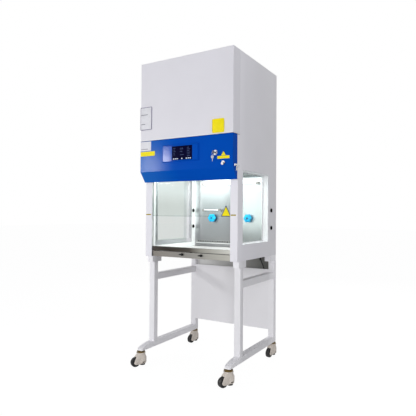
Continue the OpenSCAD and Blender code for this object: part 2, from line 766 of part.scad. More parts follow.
// ---------------------------------------------------------------- mains lead

module cord_gland() color("black") {
    rod_z(11, gland[0], gland[1], casing_z - 7, pan_z);
    rod_z(7, gland[0], gland[1], casing_z - 12, casing_z - 7);
}

// A tube of n sides swept along a path of points
module swept_tube(path, r, n) {
    last = len(path) - 1;
    function heading(i) = path[min(i + 1, last)] - path[max(i - 1, 0)];
    rings = [for (i = [0 : last]) let (
            d = heading(i) / norm(heading(i)),
            u = cross([0, 1, 0], d) / norm(cross([0, 1, 0], d)),
            v = cross(d, u))
        for (k = [0 : n - 1]) path[i] + r * (cos(360 * k / n) * u + sin(360 * k / n) * v)];
    sides = [for (i = [0 : last - 1], k = [0 : n - 1]) let (m = (k + 1) % n)
        [i * n + k, (i + 1) * n + k, (i + 1) * n + m, i * n + m]];
    caps = [[for (k = [0 : n - 1]) k], [for (k = [n - 1 : -1 : 0]) last * n + k]];
    polyhedron(rings, concat(sides, caps));
}

module cord_run() color("black") swept_tube(cord_points, cord_r, 10);

module cord_coil() color("black") translate(coil_center) rotate([90, 0, 0]) rotate_extrude()
    translate([coil_r - coil_half_r, -coil_half_y]) square([2 * coil_half_r, 2 * coil_half_y]);

module cord_plug() color("black") {
    x = plug_at[0];
    y = plug_at[1];
    z = plug_at[2];
    rod_z(5.5, x, y, z - 28, z);
    slab([x - 15, y - 8.5, z - 72], [x + 15, y + 8.5, z - 28]);
    for (s = [-1, 1]) slab([x + s * 9 - 3, y - 4.5, z - 90], [x + s * 9 + 3, y - 2.5, z - 72]);
    slab([x - 1, y + 1, z - 93], [x + 1, y + 7, z - 72]);
}

side_left();
side_right();
liner();
window_glass();
back_panel();
top_panel();
base_pan();
front_lip();
air_grilles();
front_cover();
port_plugs();
hood_shell();
display_bezel();
display_screen();
hood_fittings();
key();
panel_lock();
side_catch();
sash_glass();
sash_trim();
sash_rails();
counterweights();
pulley_shaft();
work_tray();
pan_catch(catch_x[0]);  // pan_catch_left
pan_catch(catch_x[1]);  // pan_catch_right
drain_lever();
blower_housing();
impeller();
supply_filter();
exhaust_filter();
diffuser();
lamp();
uv_lamp();
tap_bodies();
tap_knob(tap_x[0]);  // tap_knob_left
tap_knob(tap_x[1]);  // tap_knob_right
stand_left();
stand_right();
rear_beam();
rear_panel();
brackets();
caster_stems();
caster_housing(-1, true);  // housing_fl
caster_housing(1, true);  // housing_fr
caster_housing(-1, false);  // housing_rl
caster_housing(1, false);  // housing_rr
caster_wheel(-1, true);  // wheel_fl
caster_wheel(1, true);  // wheel_fr
caster_wheel(-1, false);  // wheel_rl
caster_wheel(1, false);  // wheel_rr
caster_pad(-1, true);  // pad_fl
caster_pad(1, true);  // pad_fr
caster_pad(-1, false);  // pad_rl
caster_pad(1, false);  // pad_rr
cord_gland();
cord_run();
cord_coil();
cord_plug();
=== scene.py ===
"""Class II biosafety cabinet on a wheeled stand: finishes, fittings and studio over the frame."""

from __future__ import annotations

import json
import logging
import math
from dataclasses import dataclass
from enum import Enum
from typing import Callable, Sequence

import bpy
from mathutils import Matrix, Vector

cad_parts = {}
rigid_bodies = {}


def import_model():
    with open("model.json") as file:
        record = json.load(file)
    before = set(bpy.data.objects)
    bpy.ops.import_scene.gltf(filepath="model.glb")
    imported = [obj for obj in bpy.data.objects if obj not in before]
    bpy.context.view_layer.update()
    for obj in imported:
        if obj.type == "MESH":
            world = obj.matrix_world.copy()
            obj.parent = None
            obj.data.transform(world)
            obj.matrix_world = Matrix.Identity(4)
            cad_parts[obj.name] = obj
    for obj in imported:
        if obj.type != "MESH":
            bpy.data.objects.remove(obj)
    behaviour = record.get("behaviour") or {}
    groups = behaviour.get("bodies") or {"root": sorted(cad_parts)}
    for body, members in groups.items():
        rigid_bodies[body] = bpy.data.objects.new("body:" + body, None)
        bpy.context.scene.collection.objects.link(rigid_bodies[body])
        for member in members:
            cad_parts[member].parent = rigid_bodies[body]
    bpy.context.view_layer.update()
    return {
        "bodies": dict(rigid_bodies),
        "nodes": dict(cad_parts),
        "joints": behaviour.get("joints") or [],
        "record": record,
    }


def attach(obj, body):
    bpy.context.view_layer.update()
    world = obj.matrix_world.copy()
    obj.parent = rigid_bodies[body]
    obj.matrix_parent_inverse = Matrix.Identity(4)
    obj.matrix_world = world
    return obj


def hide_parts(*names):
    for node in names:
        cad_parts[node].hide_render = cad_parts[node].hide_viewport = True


LOG = logging.getLogger("cabinet")
Point = tuple[float, float, float]
Colour = tuple[float, float, float]
Pair = tuple[float, float]
Stops = Sequence[tuple[float, float | Colour]]
Piece = bpy.types.Object
Socket = bpy.types.NodeSocket
Node = bpy.types.Node
Material = bpy.types.Material

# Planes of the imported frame, in metres along Y
REAR = 0.348
FRONT = REAR - 0.649
WALL_Y = REAR - 0.0615

# From this angle on, in radians, an edge counts as sharp
SHARP = 0.6


# ---------------- shader expressions


class Signal:
    """A number that varies over a surface; arithmetic on it adds the matching Math nodes."""

    def __init__(self, graph: "Tree", socket: Socket) -> None:
        """Wraps an output socket of a graph."""
        self.graph = graph
        self.socket = socket

    def __add__(self, other: "Signal | float") -> "Signal":
        """Sum."""
        return self.graph.math("ADD", self, other)

    __radd__ = __add__

    def __sub__(self, other: "Signal | float") -> "Signal":
        """Difference."""
        return self.graph.math("SUBTRACT", self, other)

    def __rsub__(self, other: float) -> "Signal":
        """Difference from a plain number."""
        return self.graph.math("SUBTRACT", other, self)

    def __mul__(self, other: "Signal | float") -> "Signal":
        """Product."""
        return self.graph.math("MULTIPLY", self, other)

    __rmul__ = __mul__

    def __truediv__(self, other: "Signal | float") -> "Signal":
        """Quotient."""
        return self.graph.math("DIVIDE", self, other)

    def __pow__(self, other: float) -> "Signal":
        """Power."""
        return self.graph.math("POWER", self, other)

    def ramp(self, low: float, high: float) -> "Signal":
        """Smooth step from 0 at low to 1 at high."""
        node = self.graph.add(
            "ShaderNodeMapRange",
            {"interpolation_type": "SMOOTHSTEP"},
            {"Value": self, "From Min": low, "From Max": high},
        )
        return Signal(self.graph, node.outputs["Result"])

    def within(self, low: float, high: float, soft: float) -> "Signal":
        """1 between low and high, with edges as wide as soft."""
        return self.ramp(low - soft, low) * (1 - self.ramp(high, high + soft))


class Tree:
    """A node tree, with one method for any node."""

    def __init__(self, owner: "Material | bpy.types.World", output: str) -> None:
        """Starts an empty tree with its output node."""
        owner.use_nodes = True
        self.tree = owner.node_tree
        self.tree.nodes.clear()
        self.output = self.add(output)

    def join(self, source: Socket, target: Socket) -> None:
        """Links two sockets."""
        self.tree.links.new(source, target)

    def add(
        self,
        kind: str,
        settings: dict[str, object] | None = None,
        sockets: dict[str | int, object] | None = None,
    ) -> Node:
        """Adds a node.

        Args:
            kind: the node's type.
            settings: attributes, set before any socket; "stops" gives a ramp's stops.
            sockets: values or links of input sockets, by name or number.

        Returns:
            The node.
        """
        node = self.tree.nodes.new(kind)
        for key, value in (settings or {}).items():
            if key == "stops":
                self._stops(node, value)
            else:
                setattr(node, key, value)
        for key, value in (sockets or {}).items():
            self.put(node.inputs[key], value)
        return node

    @staticmethod
    def _stops(node: Node, stops: Stops) -> None:
        """Sets the stops of a colour ramp; a single number stands for a grey."""
        elements = node.color_ramp.elements
        while len(elements) < len(stops):
            elements.new(0.5)
        for element, (place, tone) in zip(elements, stops):
            element.position = place
            element.color = (*(tone if isinstance(tone, tuple) else (tone,) * 3), 1.0)

    def put(self, target: Socket, value: object) -> None:
        """Gives an input a value or a link."""
        if isinstance(value, Signal):
            self.join(value.socket, target)
        elif isinstance(value, Socket):
            self.join(value, target)
        elif target.type == "RGBA" and len(value) == 3:
            target.default_value = (*value, 1.0)
        else:
            target.default_value = value

    def math(self, operation: str, *values: "Signal | float") -> Signal:
        """A Math node on signals and numbers."""
        node = self.add("ShaderNodeMath", {"operation": operation}, dict(enumerate(values)))
        return Signal(self, node.outputs[0])

    def show(self, shader: Node) -> None:
        """Sends a shader to the output."""
        self.join(shader.outputs[0], self.output.inputs["Surface"])

    def blend(self, share: "Signal | float", first: Node, second: Node) -> None:
        """Sends a blend of two shaders to the output."""
        parts = {0: share, 1: first.outputs[0], 2: second.outputs[0]}
        self.show(self.add("ShaderNodeMixShader", None, parts))


class Graph(Tree):
    """A material's node tree round a Principled shader."""

    def __init__(self, name: str) -> None:
        """Starts a material that has a Principled shader and an output."""
        self.material = bpy.data.materials.new(name)
        super().__init__(self.material, "ShaderNodeOutputMaterial")
        self.surface = self.add("ShaderNodeBsdfPrincipled")
        self.show(self.surface)

    def mix(self, factor: "Signal | float", first: object, second: object) -> Socket:
        """Blends two colours."""
        node = self.add(
            "ShaderNodeMix", {"data_type": "RGBA"}, {"Factor": factor, 6: first, 7: second}
        )
        return node.outputs[2]

    def vary(self, factor: "Signal | float", colour: Colour, low: float, high: float) -> Socket:
        """Blends two shades of a colour, given by their gains."""
        return self.mix(factor, tint(colour, low), tint(colour, high))

    def place(self) -> Socket:
        """The point on the object, in metres."""
        return self.add("ShaderNodeTexCoord").outputs["Object"]

    def axes(self) -> tuple[Signal, Signal, Signal]:
        """The point's X, Y and Z as signals."""
        node = self.add("ShaderNodeSeparateXYZ", None, {0: self.place()})
        return tuple(Signal(self, out) for out in node.outputs)

    def noise(
        self, scale: float, detail: float = 2.0, stretch: Point = (1, 1, 1), rough: float = 0.5
    ) -> Signal:
        """Noise over the surface, finer for a larger scale and stretched where stretch is small."""
        mapped = self.add("ShaderNodeMapping", None, {"Vector": self.place(), "Scale": stretch})
        node = self.add(
            "ShaderNodeTexNoise",
            None,
            {"Vector": mapped.outputs[0], "Scale": scale, "Detail": detail, "Roughness": rough},
        )
        return Signal(self, node.outputs[0])

    def edges(self, radius: float) -> tuple[Socket, Signal]:
        """Softened normals, and how near a point is to an edge.

        Args:
            radius: the edge rounding in metres.

        Returns:
            The softened normal and a signal that is 1 on an edge.
        """
        soft = self.add("ShaderNodeBevel", {"samples": 4}, {"Radius": radius}).outputs[0]
        true = self.add("ShaderNodeNewGeometry").outputs["True Normal"]
        node = self.add("ShaderNodeVectorMath", {"operation": "DOT_PRODUCT"}, {0: soft, 1: true})
        near = 1 - Signal(self, node.outputs["Value"])
        return soft, near.ramp(0.02, 0.25)

    def bump(self, height: Signal, distance: float, normal: object = None) -> Socket:
        """A normal with a height on it, distance in metres."""
        sockets: dict[str | int, object] = {"Height": height, "Distance": distance, "Strength": 1.0}
        if normal is not None:
            sockets["Normal"] = normal
        return self.add("ShaderNodeBump", None, sockets).outputs[0]

    def shade(self, **values: object) -> None:
        """Sets Principled sockets, underscores standing for spaces."""
        for key, value in values.items():
            self.put(self.surface.inputs[key.replace("_", " ")], value)


def ease(t: float) -> float:
    """Smooth step of a share between 0 and 1."""
    return t * t * (3 - 2 * t)


def tint(colour: Colour, gain: float) -> Colour:
    """A colour made lighter or darker."""
    return tuple(min(1.0, max(0.0, c * gain)) for c in colour)


# ---------------- finishes

# Dust on paint and on plastic
DUST = (0.30, 0.29, 0.27)
PALE_DUST = (0.42, 0.40, 0.37)


@dataclass(frozen=True)
class Finish:
    """A material by name and main colour."""

    name: str
    colour: Colour

    def build(self) -> Material:
        """Builds the material."""
        g = Graph(self.name)
        self.lay(g)
        return g.material

    def lay(self, g: Graph) -> None:
        """Lays the finish on an empty graph."""
        raise NotImplementedError


@dataclass(frozen=True)
class Fade:
    """A tone that changes along one axis of the object, in place of part of the light there."""

    axis: int
    span: Pair
    stops: Stops

    def over(self, g: Graph, colour: object) -> Socket:
        """Multiplies a colour by the tone.

        Args:
            g: the graph.
            colour: the colour before.

        Returns:
            The toned colour.
        """
        low, high = self.span
        along = (g.axes()[self.axis] - low) / (high - low)
        tone = g.add("ShaderNodeValToRGB", {"stops": self.stops}, {"Fac": along})
        node = g.add(
            "ShaderNodeMix",
            {"data_type": "RGBA", "blend_type": "MULTIPLY"},
            {"Factor": 1.0, 6: colour, 7: tone.outputs["Color"]},
        )
        return node.outputs[2]


@dataclass(frozen=True)
class Paint(Finish):
    """Powder coat on sheet steel: fine orange peel, specks of dust and paler edges."""

    roughness: float = 0.38
    edge: float = 0.0014
    peel: float = 0.00005
    gloss: float = 0.3
    fade: Fade | None = None
    polish: tuple[float, float, float] = (0.0, 0.0, 1.0)

    def lay(self, g: Graph) -> None:
        """Cloudy colour with specks, then worn edges and orange peel."""
        soft, near = g.edges(self.edge)
        cloud = g.noise(2.6, 3.0)
        fine = g.noise(620.0, 1.0)
        specks = g.noise(160.0, 4.0, rough=0.7).ramp(0.66, 0.74)
        colour = g.vary(cloud.ramp(0.3, 0.7), self.colour, 0.975, 1.01)
        # A fade paints light and shade along one axis of the object
        if self.fade is not None:
            colour = self.fade.over(g, colour)
        colour = g.mix(specks * 0.05, colour, DUST)
        colour = g.mix(near * 0.22, colour, tint(self.colour, 1.12))
        rough = self.roughness + 0.07 * cloud - 0.05 * near + 0.12 * specks
        if self.polish[0]:
            weight, full, none = self.polish
            g.shade(Coat_Weight=(1 - g.axes()[0].ramp(full, none)) * weight, Coat_Roughness=0.16)
        g.shade(
            Base_Color=colour,
            Roughness=rough,
            Normal=g.bump(fine, self.peel, soft),
            Specular_IOR_Level=self.gloss,
        )


@dataclass(frozen=True)
class Brushed(Finish):
    """Stainless or aluminium with brushing along one axis and faint wipe marks."""

    along: Point = (0.012, 1.0, 1.0)
    roughness: float = 0.24
    grain: float = 0.00002
    edge: float = 0.0008
    dull: float = 0.12
    fade: Fade | None = None
    flank: Colour | None = None
    bare: float = 1.0

    def lay(self, g: Graph) -> None:
        """Lines and wipe marks, then the changes over the walls."""
        soft, near = g.edges(self.edge)
        metal: object = self.bare
        lines = g.noise(900.0, 3.0, self.along, 0.6)
        bands = g.noise(60.0, 2.0, self.along)
        wipe = g.noise(5.0, 4.0, rough=0.62)
        colour = g.vary(lines, self.colour, 0.90, 1.06)
        colour = g.mix(wipe.ramp(0.45, 0.75) * self.dull * 2.0, colour, tint(self.colour, 0.86))
        # A fade paints light and shade along one axis of the object
        if self.fade is not None:
            plain = colour
            colour = self.fade.over(g, colour)
        if self.flank is not None:
            # Painted light: high up, the rear wall's ends are lifted back from the painted shade to
            # the plain tone; the side walls take their own brighter, mostly non-metallic tone
            x, _, z = g.axes()
            ends = x.ramp(0.03, 0.12) + (1 - x.ramp(-0.27, -0.235))
            colour = g.mix(ends * z.ramp(0.80, 0.95) * 0.85, colour, plain)
            walls = g.math("ABSOLUTE", x).ramp(0.2885, 0.2895)
            colour = g.mix(walls, colour, self.flank)
            metal = 1 - walls * 0.85
        rough = self.roughness + 0.10 * lines + 0.05 * bands + self.dull * wipe - 0.05 * near
        normal = g.bump(lines, self.grain, soft)
        g.shade(Base_Color=colour, Metallic=metal, Roughness=rough, Normal=normal)


@dataclass(frozen=True)
class Moulded(Finish):
    """Moulded plastic or rubber with a fine grain, rubbed edges and a little dust."""

    roughness: float = 0.42
    grain: float = 0.00004
    scale: float = 700.0
    edge: float = 0.0008
    dust: float = 0.06
    gloss: float = 0.4

    def lay(self, g: Graph) -> None:
        """Grain, dust in patches and rubbed edges."""
        soft, near = g.edges(self.edge)
        grain = g.noise(self.scale, 2.0)
        patches = g.noise(26.0, 4.0, rough=0.6)
        colour = g.vary(patches.ramp(0.35, 0.7), self.colour, 0.92, 1.05)
        colour = g.mix(patches.ramp(0.58, 0.8) * self.dust, colour, PALE_DUST)
        colour = g.mix(near * 0.25, colour, tint(self.colour, 1.35))
        rough = self.roughness + 0.10 * patches - 0.08 * near
        g.shade(
            Base_Color=colour,
            Roughness=rough,
            Normal=g.bump(grain, self.grain, soft),
            Specular_IOR_Level=self.gloss,
        )


@dataclass(frozen=True)
class Cast(Finish):
    """Cast metal: enamel or bare skin over a coarse sand texture."""

    metallic: float = 0.0
    roughness: float = 0.45
    lumps: float = 0.0002
    stain: Colour = (0.20, 0.16, 0.12)
    staining: float = 0.25

    def lay(self, g: Graph) -> None:
        """Lumps, stains and rubbed edges."""
        soft, near = g.edges(0.0018)
        lumps = g.noise(240.0, 4.0, rough=0.6)
        spread = g.noise(34.0, 5.0, rough=0.65)
        colour = g.vary(spread, self.colour, 0.88, 1.06)
        colour = g.mix(spread.ramp(0.55, 0.75) * self.staining, colour, self.stain)
        colour = g.mix(near * 0.3, colour, tint(self.colour, 1.2))
        rough = self.roughness + 0.15 * spread - 0.08 * near
        g.shade(
            Base_Color=colour,
            Metallic=self.metallic,
            Roughness=rough,
            Normal=g.bump(lumps, self.lumps, soft),
        )


@dataclass(frozen=True)
class Pane(Finish):
    """Toughened glass with soft smears; left holds the left window's see-through tones, low and
    high, painted shade on what shows through.
    """

    colour: Colour = (0.955, 0.99, 0.975)
    veil: float = 0.03
    left: tuple[Colour, Colour] | None = None

    def lay(self, g: Graph) -> None:
        """A clear shader under a gloss that grows towards the slant."""
        smear = g.noise(9.0, 5.0, (1.0, 1.0, 0.35), 0.62)
        gloss = g.add(
            "ShaderNodeBsdfPrincipled",
            None,
            {
                "Base Color": (0.02, 0.025, 0.024),
                "Roughness": 0.02 + 0.05 * smear,
                "IOR": 1.5,
                "Specular IOR Level": 0.6,
            },
        )
        tone = self.colour
        # Left pane only: painted shade through the glass, darker low and lighter high, lifted to
        # clear at the rear end as painted light on the reveal behind
        if self.left is not None:
            x, y, z = g.axes()
            pane = g.mix(z.ramp(1.02, 1.16), *self.left)
            pane = g.mix(y.ramp(0.165, 0.185), pane, (1.0, 1.0, 1.0))
            tone = g.mix(x.ramp(-0.1, 0.1), pane, self.colour)
        clear = g.add("ShaderNodeBsdfTransparent", None, {"Color": tone})
        facing = Signal(g, g.add("ShaderNodeLayerWeight", None, {"Blend": 0.5}).outputs["Facing"])
        cover = facing**5.0 * 0.9 + (self.veil + 0.03 * smear)
        g.tree.nodes.remove(g.surface)
        g.blend(cover, clear, gloss)


@dataclass(frozen=True)
class Glow(Finish):
    """A lit tube or screen behind a gloss cover."""

    strength: float
    ends: Pair = (0.0, 0.0)
    gloss: float = 0.3

    def lay(self, g: Graph) -> None:
        """Hazy emission, dark at the ends of a tube."""
        haze = g.noise(40.0, 2.0)
        colour = g.vary(haze * 0.3, self.colour, 1.0, 0.9)
        if self.ends != (0.0, 0.0):
            x, _, _ = g.axes()
            colour = g.mix(x.within(*self.ends, 0.003), (0.24, 0.23, 0.22), colour)
        g.shade(
            Base_Color=colour,
            Roughness=0.2 + 0.1 * haze,
            Emission_Color=colour,
            Emission_Strength=self.strength,
            Specular_IOR_Level=self.gloss,
        )


@dataclass(frozen=True)
class Film(Finish):
    """A printed adhesive label or tape: flat colour, an edge line and faint creases."""

    roughness: float = 0.35

    def lay(self, g: Graph) -> None:
        """Flat colour on creases."""
        crease = g.noise(45.0, 3.0, rough=0.6)
        fibre = g.noise(500.0, 2.0)
        colour = g.vary(crease.ramp(0.35, 0.75), self.colour, 1.0, 0.93)
        g.shade(
            Base_Color=colour,
            Roughness=self.roughness + 0.12 * crease,
            Normal=g.bump(crease + 0.2 * fibre, 0.00012),
            Specular_IOR_Level=0.15,
        )


@dataclass(frozen=True)
class Pleats(Finish):
    """Folded glass-fibre paper."""

    def lay(self, g: Graph) -> None:
        """Folds in bands on a fibrous ground."""
        fold = g.add(
            "ShaderNodeTexWave",
            {"wave_type": "BANDS", "bands_direction": "X"},
            {"Vector": g.place(), "Scale": 70.0, "Distortion": 0.6, "Detail": 2.0},
        )
        wave = Signal(g, fold.outputs["Fac"])
        fibre = g.noise(420.0, 4.0, rough=0.7)
        colour = g.vary(fibre, self.colour, 0.86, 1.0)
        g.shade(
            Base_Color=colour, Roughness=0.9, Normal=g.bump(wave * 0.5 + fibre * 0.3, 0.0008)
        )


class Slot(Enum):
    """The record's material slots, by name."""

    CHROME = "chrome"
    BLACK = "black_plastic"
    WHITE = "white_plastic"
    SCREEN = "screen"
    CYAN = "cyan_plastic"
    LEAD = "cord_rubber"
    IVORY = "ivory_paint"


# Stretch of the brushing: the same all ways, and up and down
EVEN = (1.0, 1.0, 1.0)
UPRIGHT = (1.0, 1.0, 0.012)


class Palette:
    """Every finish of the cabinet, built once by name."""

    FINISHES: tuple[Finish, ...] = (
        # Painted shade: the fade keeps full tone at the front and darkens the panels towards the
        # back
        Paint(
            "body_white", (0.86, 0.85, 0.90),
            fade=Fade(1, (-0.30, 0.35), (
                (0.0, 1.0), (0.15, 0.985), (0.25, 0.93), (0.5, (0.89, 0.89, 0.885)),
                (1.0, (0.89, 0.89, 0.875)),
            )),
        ),
        Paint("cover_white", (0.78, 0.77, 0.82)),
        # Painted shade: the fade darkens the middle of the stand's depth and keeps full tone at
        # front and rear
        Paint(
            "stand_white", (0.92, 0.91, 0.94), roughness=0.42,
            fade=Fade(1, (-0.33, 0.35), (
                (0.0, 1.0), (0.16, 1.0), (0.25, 0.82), (0.8, 0.82), (0.9, 1.0),
            )),
        ),
        Paint("frame_white", (0.90, 0.89, 0.92), roughness=0.42),
        # A brighter copy of the white paint: painted light on the window reveals and a painted
        # highlight strip above the hood
        Paint("painted_light_white", (0.92, 0.92, 0.94), roughness=0.45),
        # Painted highlight: the fade keeps a paler, greener blue at the left end and deepens the
        # blue to the right
        Paint(
            "hood_blue", (0.0012, 0.125, 0.52), roughness=0.25, peel=0.00001, gloss=0.01,
            polish=(0.20, -0.30, -0.06),
            fade=Fade(0, (-0.35, -0.04), (
                (0.0, 1.0), (0.35, (0.8, 0.86, 0.97)), (1.0, (0.35, 0.60, 0.92)),
            )),
        ),
        # Painted shade: the fade runs from light grey at the left end to nearly black at the right
        Paint(
            "beam_grey_painted_shade", (0.86, 0.86, 0.85), roughness=0.6, gloss=0.1,
            fade=Fade(0, (-0.30, 0.30), ((0.0, 1.0), (1.0, (0.15, 0.15, 0.14)))),
        ),
        Paint("blower_zinc", (0.50, 0.51, 0.52), roughness=0.45),
        # Painted shade: the fade darkens the chamber walls low down and keeps full tone at the top;
        # the side walls get a brighter flank tone as painted light
        Brushed(
            "wall_steel", (0.66, 0.69, 0.70), along=UPRIGHT, flank=(0.97, 1.0, 0.99),
            fade=Fade(2, (0.74, 1.255), (
                (0.0, (0.41, 0.40, 0.40)), (0.4, (0.44, 0.45, 0.46)),
                (0.8, (0.74, 0.74, 0.75)), (1.0, 1.0),
            )),
        ),
        Brushed("grille_steel", (0.36, 0.37, 0.36), roughness=0.3),
        # Painted highlight and shade: the fade gives a bright band at one height and darker tone
        # above and below
        Brushed(
            "strip_steel", (0.90, 0.92, 0.91), roughness=0.3,
            fade=Fade(2, (0.741, 0.788), (
                (0.0, 0.4), (0.40, 0.4), (0.45, 0.9), (0.54, 0.9), (0.60, 0.36), (1.0, 0.36),
            )),
        ),
        Brushed("tray_steel", (0.84, 0.84, 0.82), roughness=0.34, bare=0.65),
        Brushed(
            # Painted shade: the fade darkens the pan to the left and middle, with full tone at the
            # right end
            "pan_steel", (0.34, 0.335, 0.31), roughness=0.35,
            fade=Fade(0, (-0.34, 0.34), (
                (0.0, (0.55, 0.51, 0.50)), (0.5, (0.60, 0.59, 0.60)), (1.0, (1.0, 1.0, 0.97)),
            )),
        ),
        # Painted shade: the fade makes the lip very dark on the left half, with full tone at the
        # right end
        Brushed(
            "lip_steel", (0.43, 0.43, 0.40), roughness=0.22, dull=0.2,
            fade=Fade(0, (-0.34, 0.34), (
                (0.0, (0.15, 0.13, 0.13)), (0.25, (0.07, 0.06, 0.055)),
                (0.5, (0.13, 0.115, 0.11)), (0.62, (0.46, 0.45, 0.43)), (1.0, 1.0),
            )),
        ),
        Brushed("rail_alloy", (0.70, 0.70, 0.71), along=UPRIGHT, roughness=0.3),
        Brushed("pale_alloy", (0.92, 0.94, 0.93), along=UPRIGHT, roughness=0.35),
        Brushed("bright_chrome", (0.50, 0.49, 0.50), EVEN, roughness=0.12, dull=0.05),
        Brushed("key_steel", (0.24, 0.25, 0.29), EVEN, roughness=0.2, dull=0.05),
        Moulded("black_moulding", (0.006, 0.006, 0.007), gloss=0.15, dust=0.02),
        Moulded("plug_black", (0.004, 0.004, 0.004), roughness=0.6, gloss=0.02, dust=0.0),
        # Black for the strip and inserts in the return holes, which are painted shade
        Moulded("duct_painted_shade_black", (0.006, 0.005, 0.004), roughness=0.8, gloss=0.05, dust=0.0),
        Paint(
            "bezel_blue", (0.0004, 0.074, 0.48), roughness=0.25, peel=0.00001, gloss=0.01,
            polish=(0.70, -0.13, -0.05),
        ),
        Moulded("knob_cyan", (0.008, 0.50, 0.86), roughness=0.35, gloss=0.3, dust=0.0),
        Moulded("tap_blue", (0.03, 0.17, 0.42), roughness=0.35),
        Moulded("lever_red", (0.45, 0.02, 0.02)),
        Moulded("tyre_black", (0.010, 0.010, 0.011), roughness=0.55, scale=300.0, dust=0.25),
        Moulded("pad_black", (0.015, 0.015, 0.015), roughness=0.6, dust=0.2),
        Moulded("lead_rubber", (0.010, 0.010, 0.011), roughness=0.5, scale=1200.0),
        Moulded("print_dark", (0.012, 0.02, 0.10), roughness=0.5),
        Cast("caster_ivory", (0.72, 0.655, 0.59), staining=0.12),
        Cast("stem_brass", (0.15, 0.105, 0.045), metallic=1.0, roughness=0.25),
        Cast("weight_iron", (0.045, 0.045, 0.05), roughness=0.6),
        # On the left pane the see-through tones are painted shade: darker low, lighter high
        Pane("clear_glass", left=((0.875, 0.895, 0.885), (0.965, 0.995, 0.99))),
        Pane("sash_pane", (0.975, 0.995, 0.985), 0.02),
        Pane("trim_clear", (0.95, 0.98, 0.97), 0.10),
        Glow("lit_tube", (0.95, 0.98, 1.0), 0.9, (-0.200, 0.222)),
        Glow("lamp_white", (0.78, 0.80, 0.82), 0.06, (-0.198, -0.080)),
        Glow("lcd_navy", (0.001, 0.001, 0.020), 0.25, gloss=0.01),
        Glow("lcd_mark", (0.75, 0.85, 1.0), 0.7, gloss=0.02),
        Glow("lcd_faint", (0.08, 0.11, 0.24), 0.3, gloss=0.02),
        Film("label_yellow", (0.98, 0.83, 0.006)),
        Film("tape_amber", (0.40, 0.31, 0.01)),
        Film("label_white", (0.80, 0.80, 0.84)),
        Film("label_purple", (0.16, 0.13, 0.28)),
        Film("label_line", (0.10, 0.10, 0.15)),
        Pleats("filter_paper", (0.80, 0.79, 0.74)),
    )

    NODES: dict[str, str] = {
        "body_white": "side_left side_right back_panel top_panel",
        "cover_white": "front_cover",
        "plug_black": "port_plugs",
        "clear_glass": "window_glass",
        "wall_steel": "liner",
        "grille_steel": "diffuser",
        "strip_steel": "air_grilles",
        "pan_steel": "base_pan",
        "tray_steel": "work_tray",
        "lip_steel": "front_lip",
        "pale_alloy": "sash_rails",
        "trim_clear": "sash_trim",
        "sash_pane": "sash_glass",
        "weight_iron": "counterweights",
        "bright_chrome": "pulley_shaft hood_fittings panel_lock",
        "black_moulding": "pan_catch_left pan_catch_right cord_plug",
        "lever_red": "drain_lever",
        "lit_tube": "lamp",
        "lamp_white": "uv_lamp",
        "tap_blue": "tap_bodies",
        "knob_cyan": "tap_knob_left tap_knob_right",
        "hood_blue": "hood_shell",
        "bezel_blue": "display_bezel",
        "lcd_navy": "display_screen",
        "key_steel": "key",
        "rail_alloy": "side_catch impeller",
        "blower_zinc": "blower_housing",
        "filter_paper": "supply_filter exhaust_filter",
        "stand_white": "stand_right brackets",
        "frame_white": "stand_left rear_panel",
        "beam_grey_painted_shade": "rear_beam",
        "stem_brass": "caster_stems",
        "caster_ivory": "housing_fl housing_fr housing_rl housing_rr",
        "tyre_black": "wheel_fl wheel_fr wheel_rl wheel_rr",
        "pad_black": "pad_fl pad_fr pad_rl pad_rr",
    }

    def __init__(self) -> None:
        """Readies the finishes; each is built when it is first asked for."""
        self._specs = {spec.name: spec for spec in self.FINISHES}
        self._made: dict[str, Material] = {}

    def __getitem__(self, name: str) -> Material:
        """The material of that name."""
        if name not in self._made:
            self._made[name] = self._specs[name].build()
        return self._made[name]

    def dress(self, frame: dict) -> None:
        """Gives the CAD nodes of the loaded frame their finishes."""
        for finish, nodes in self.NODES.items():
            for node in nodes.split():
                for slot in frame["nodes"][node].material_slots:
                    slot.material = self[finish]


# ---------------- modelling bench


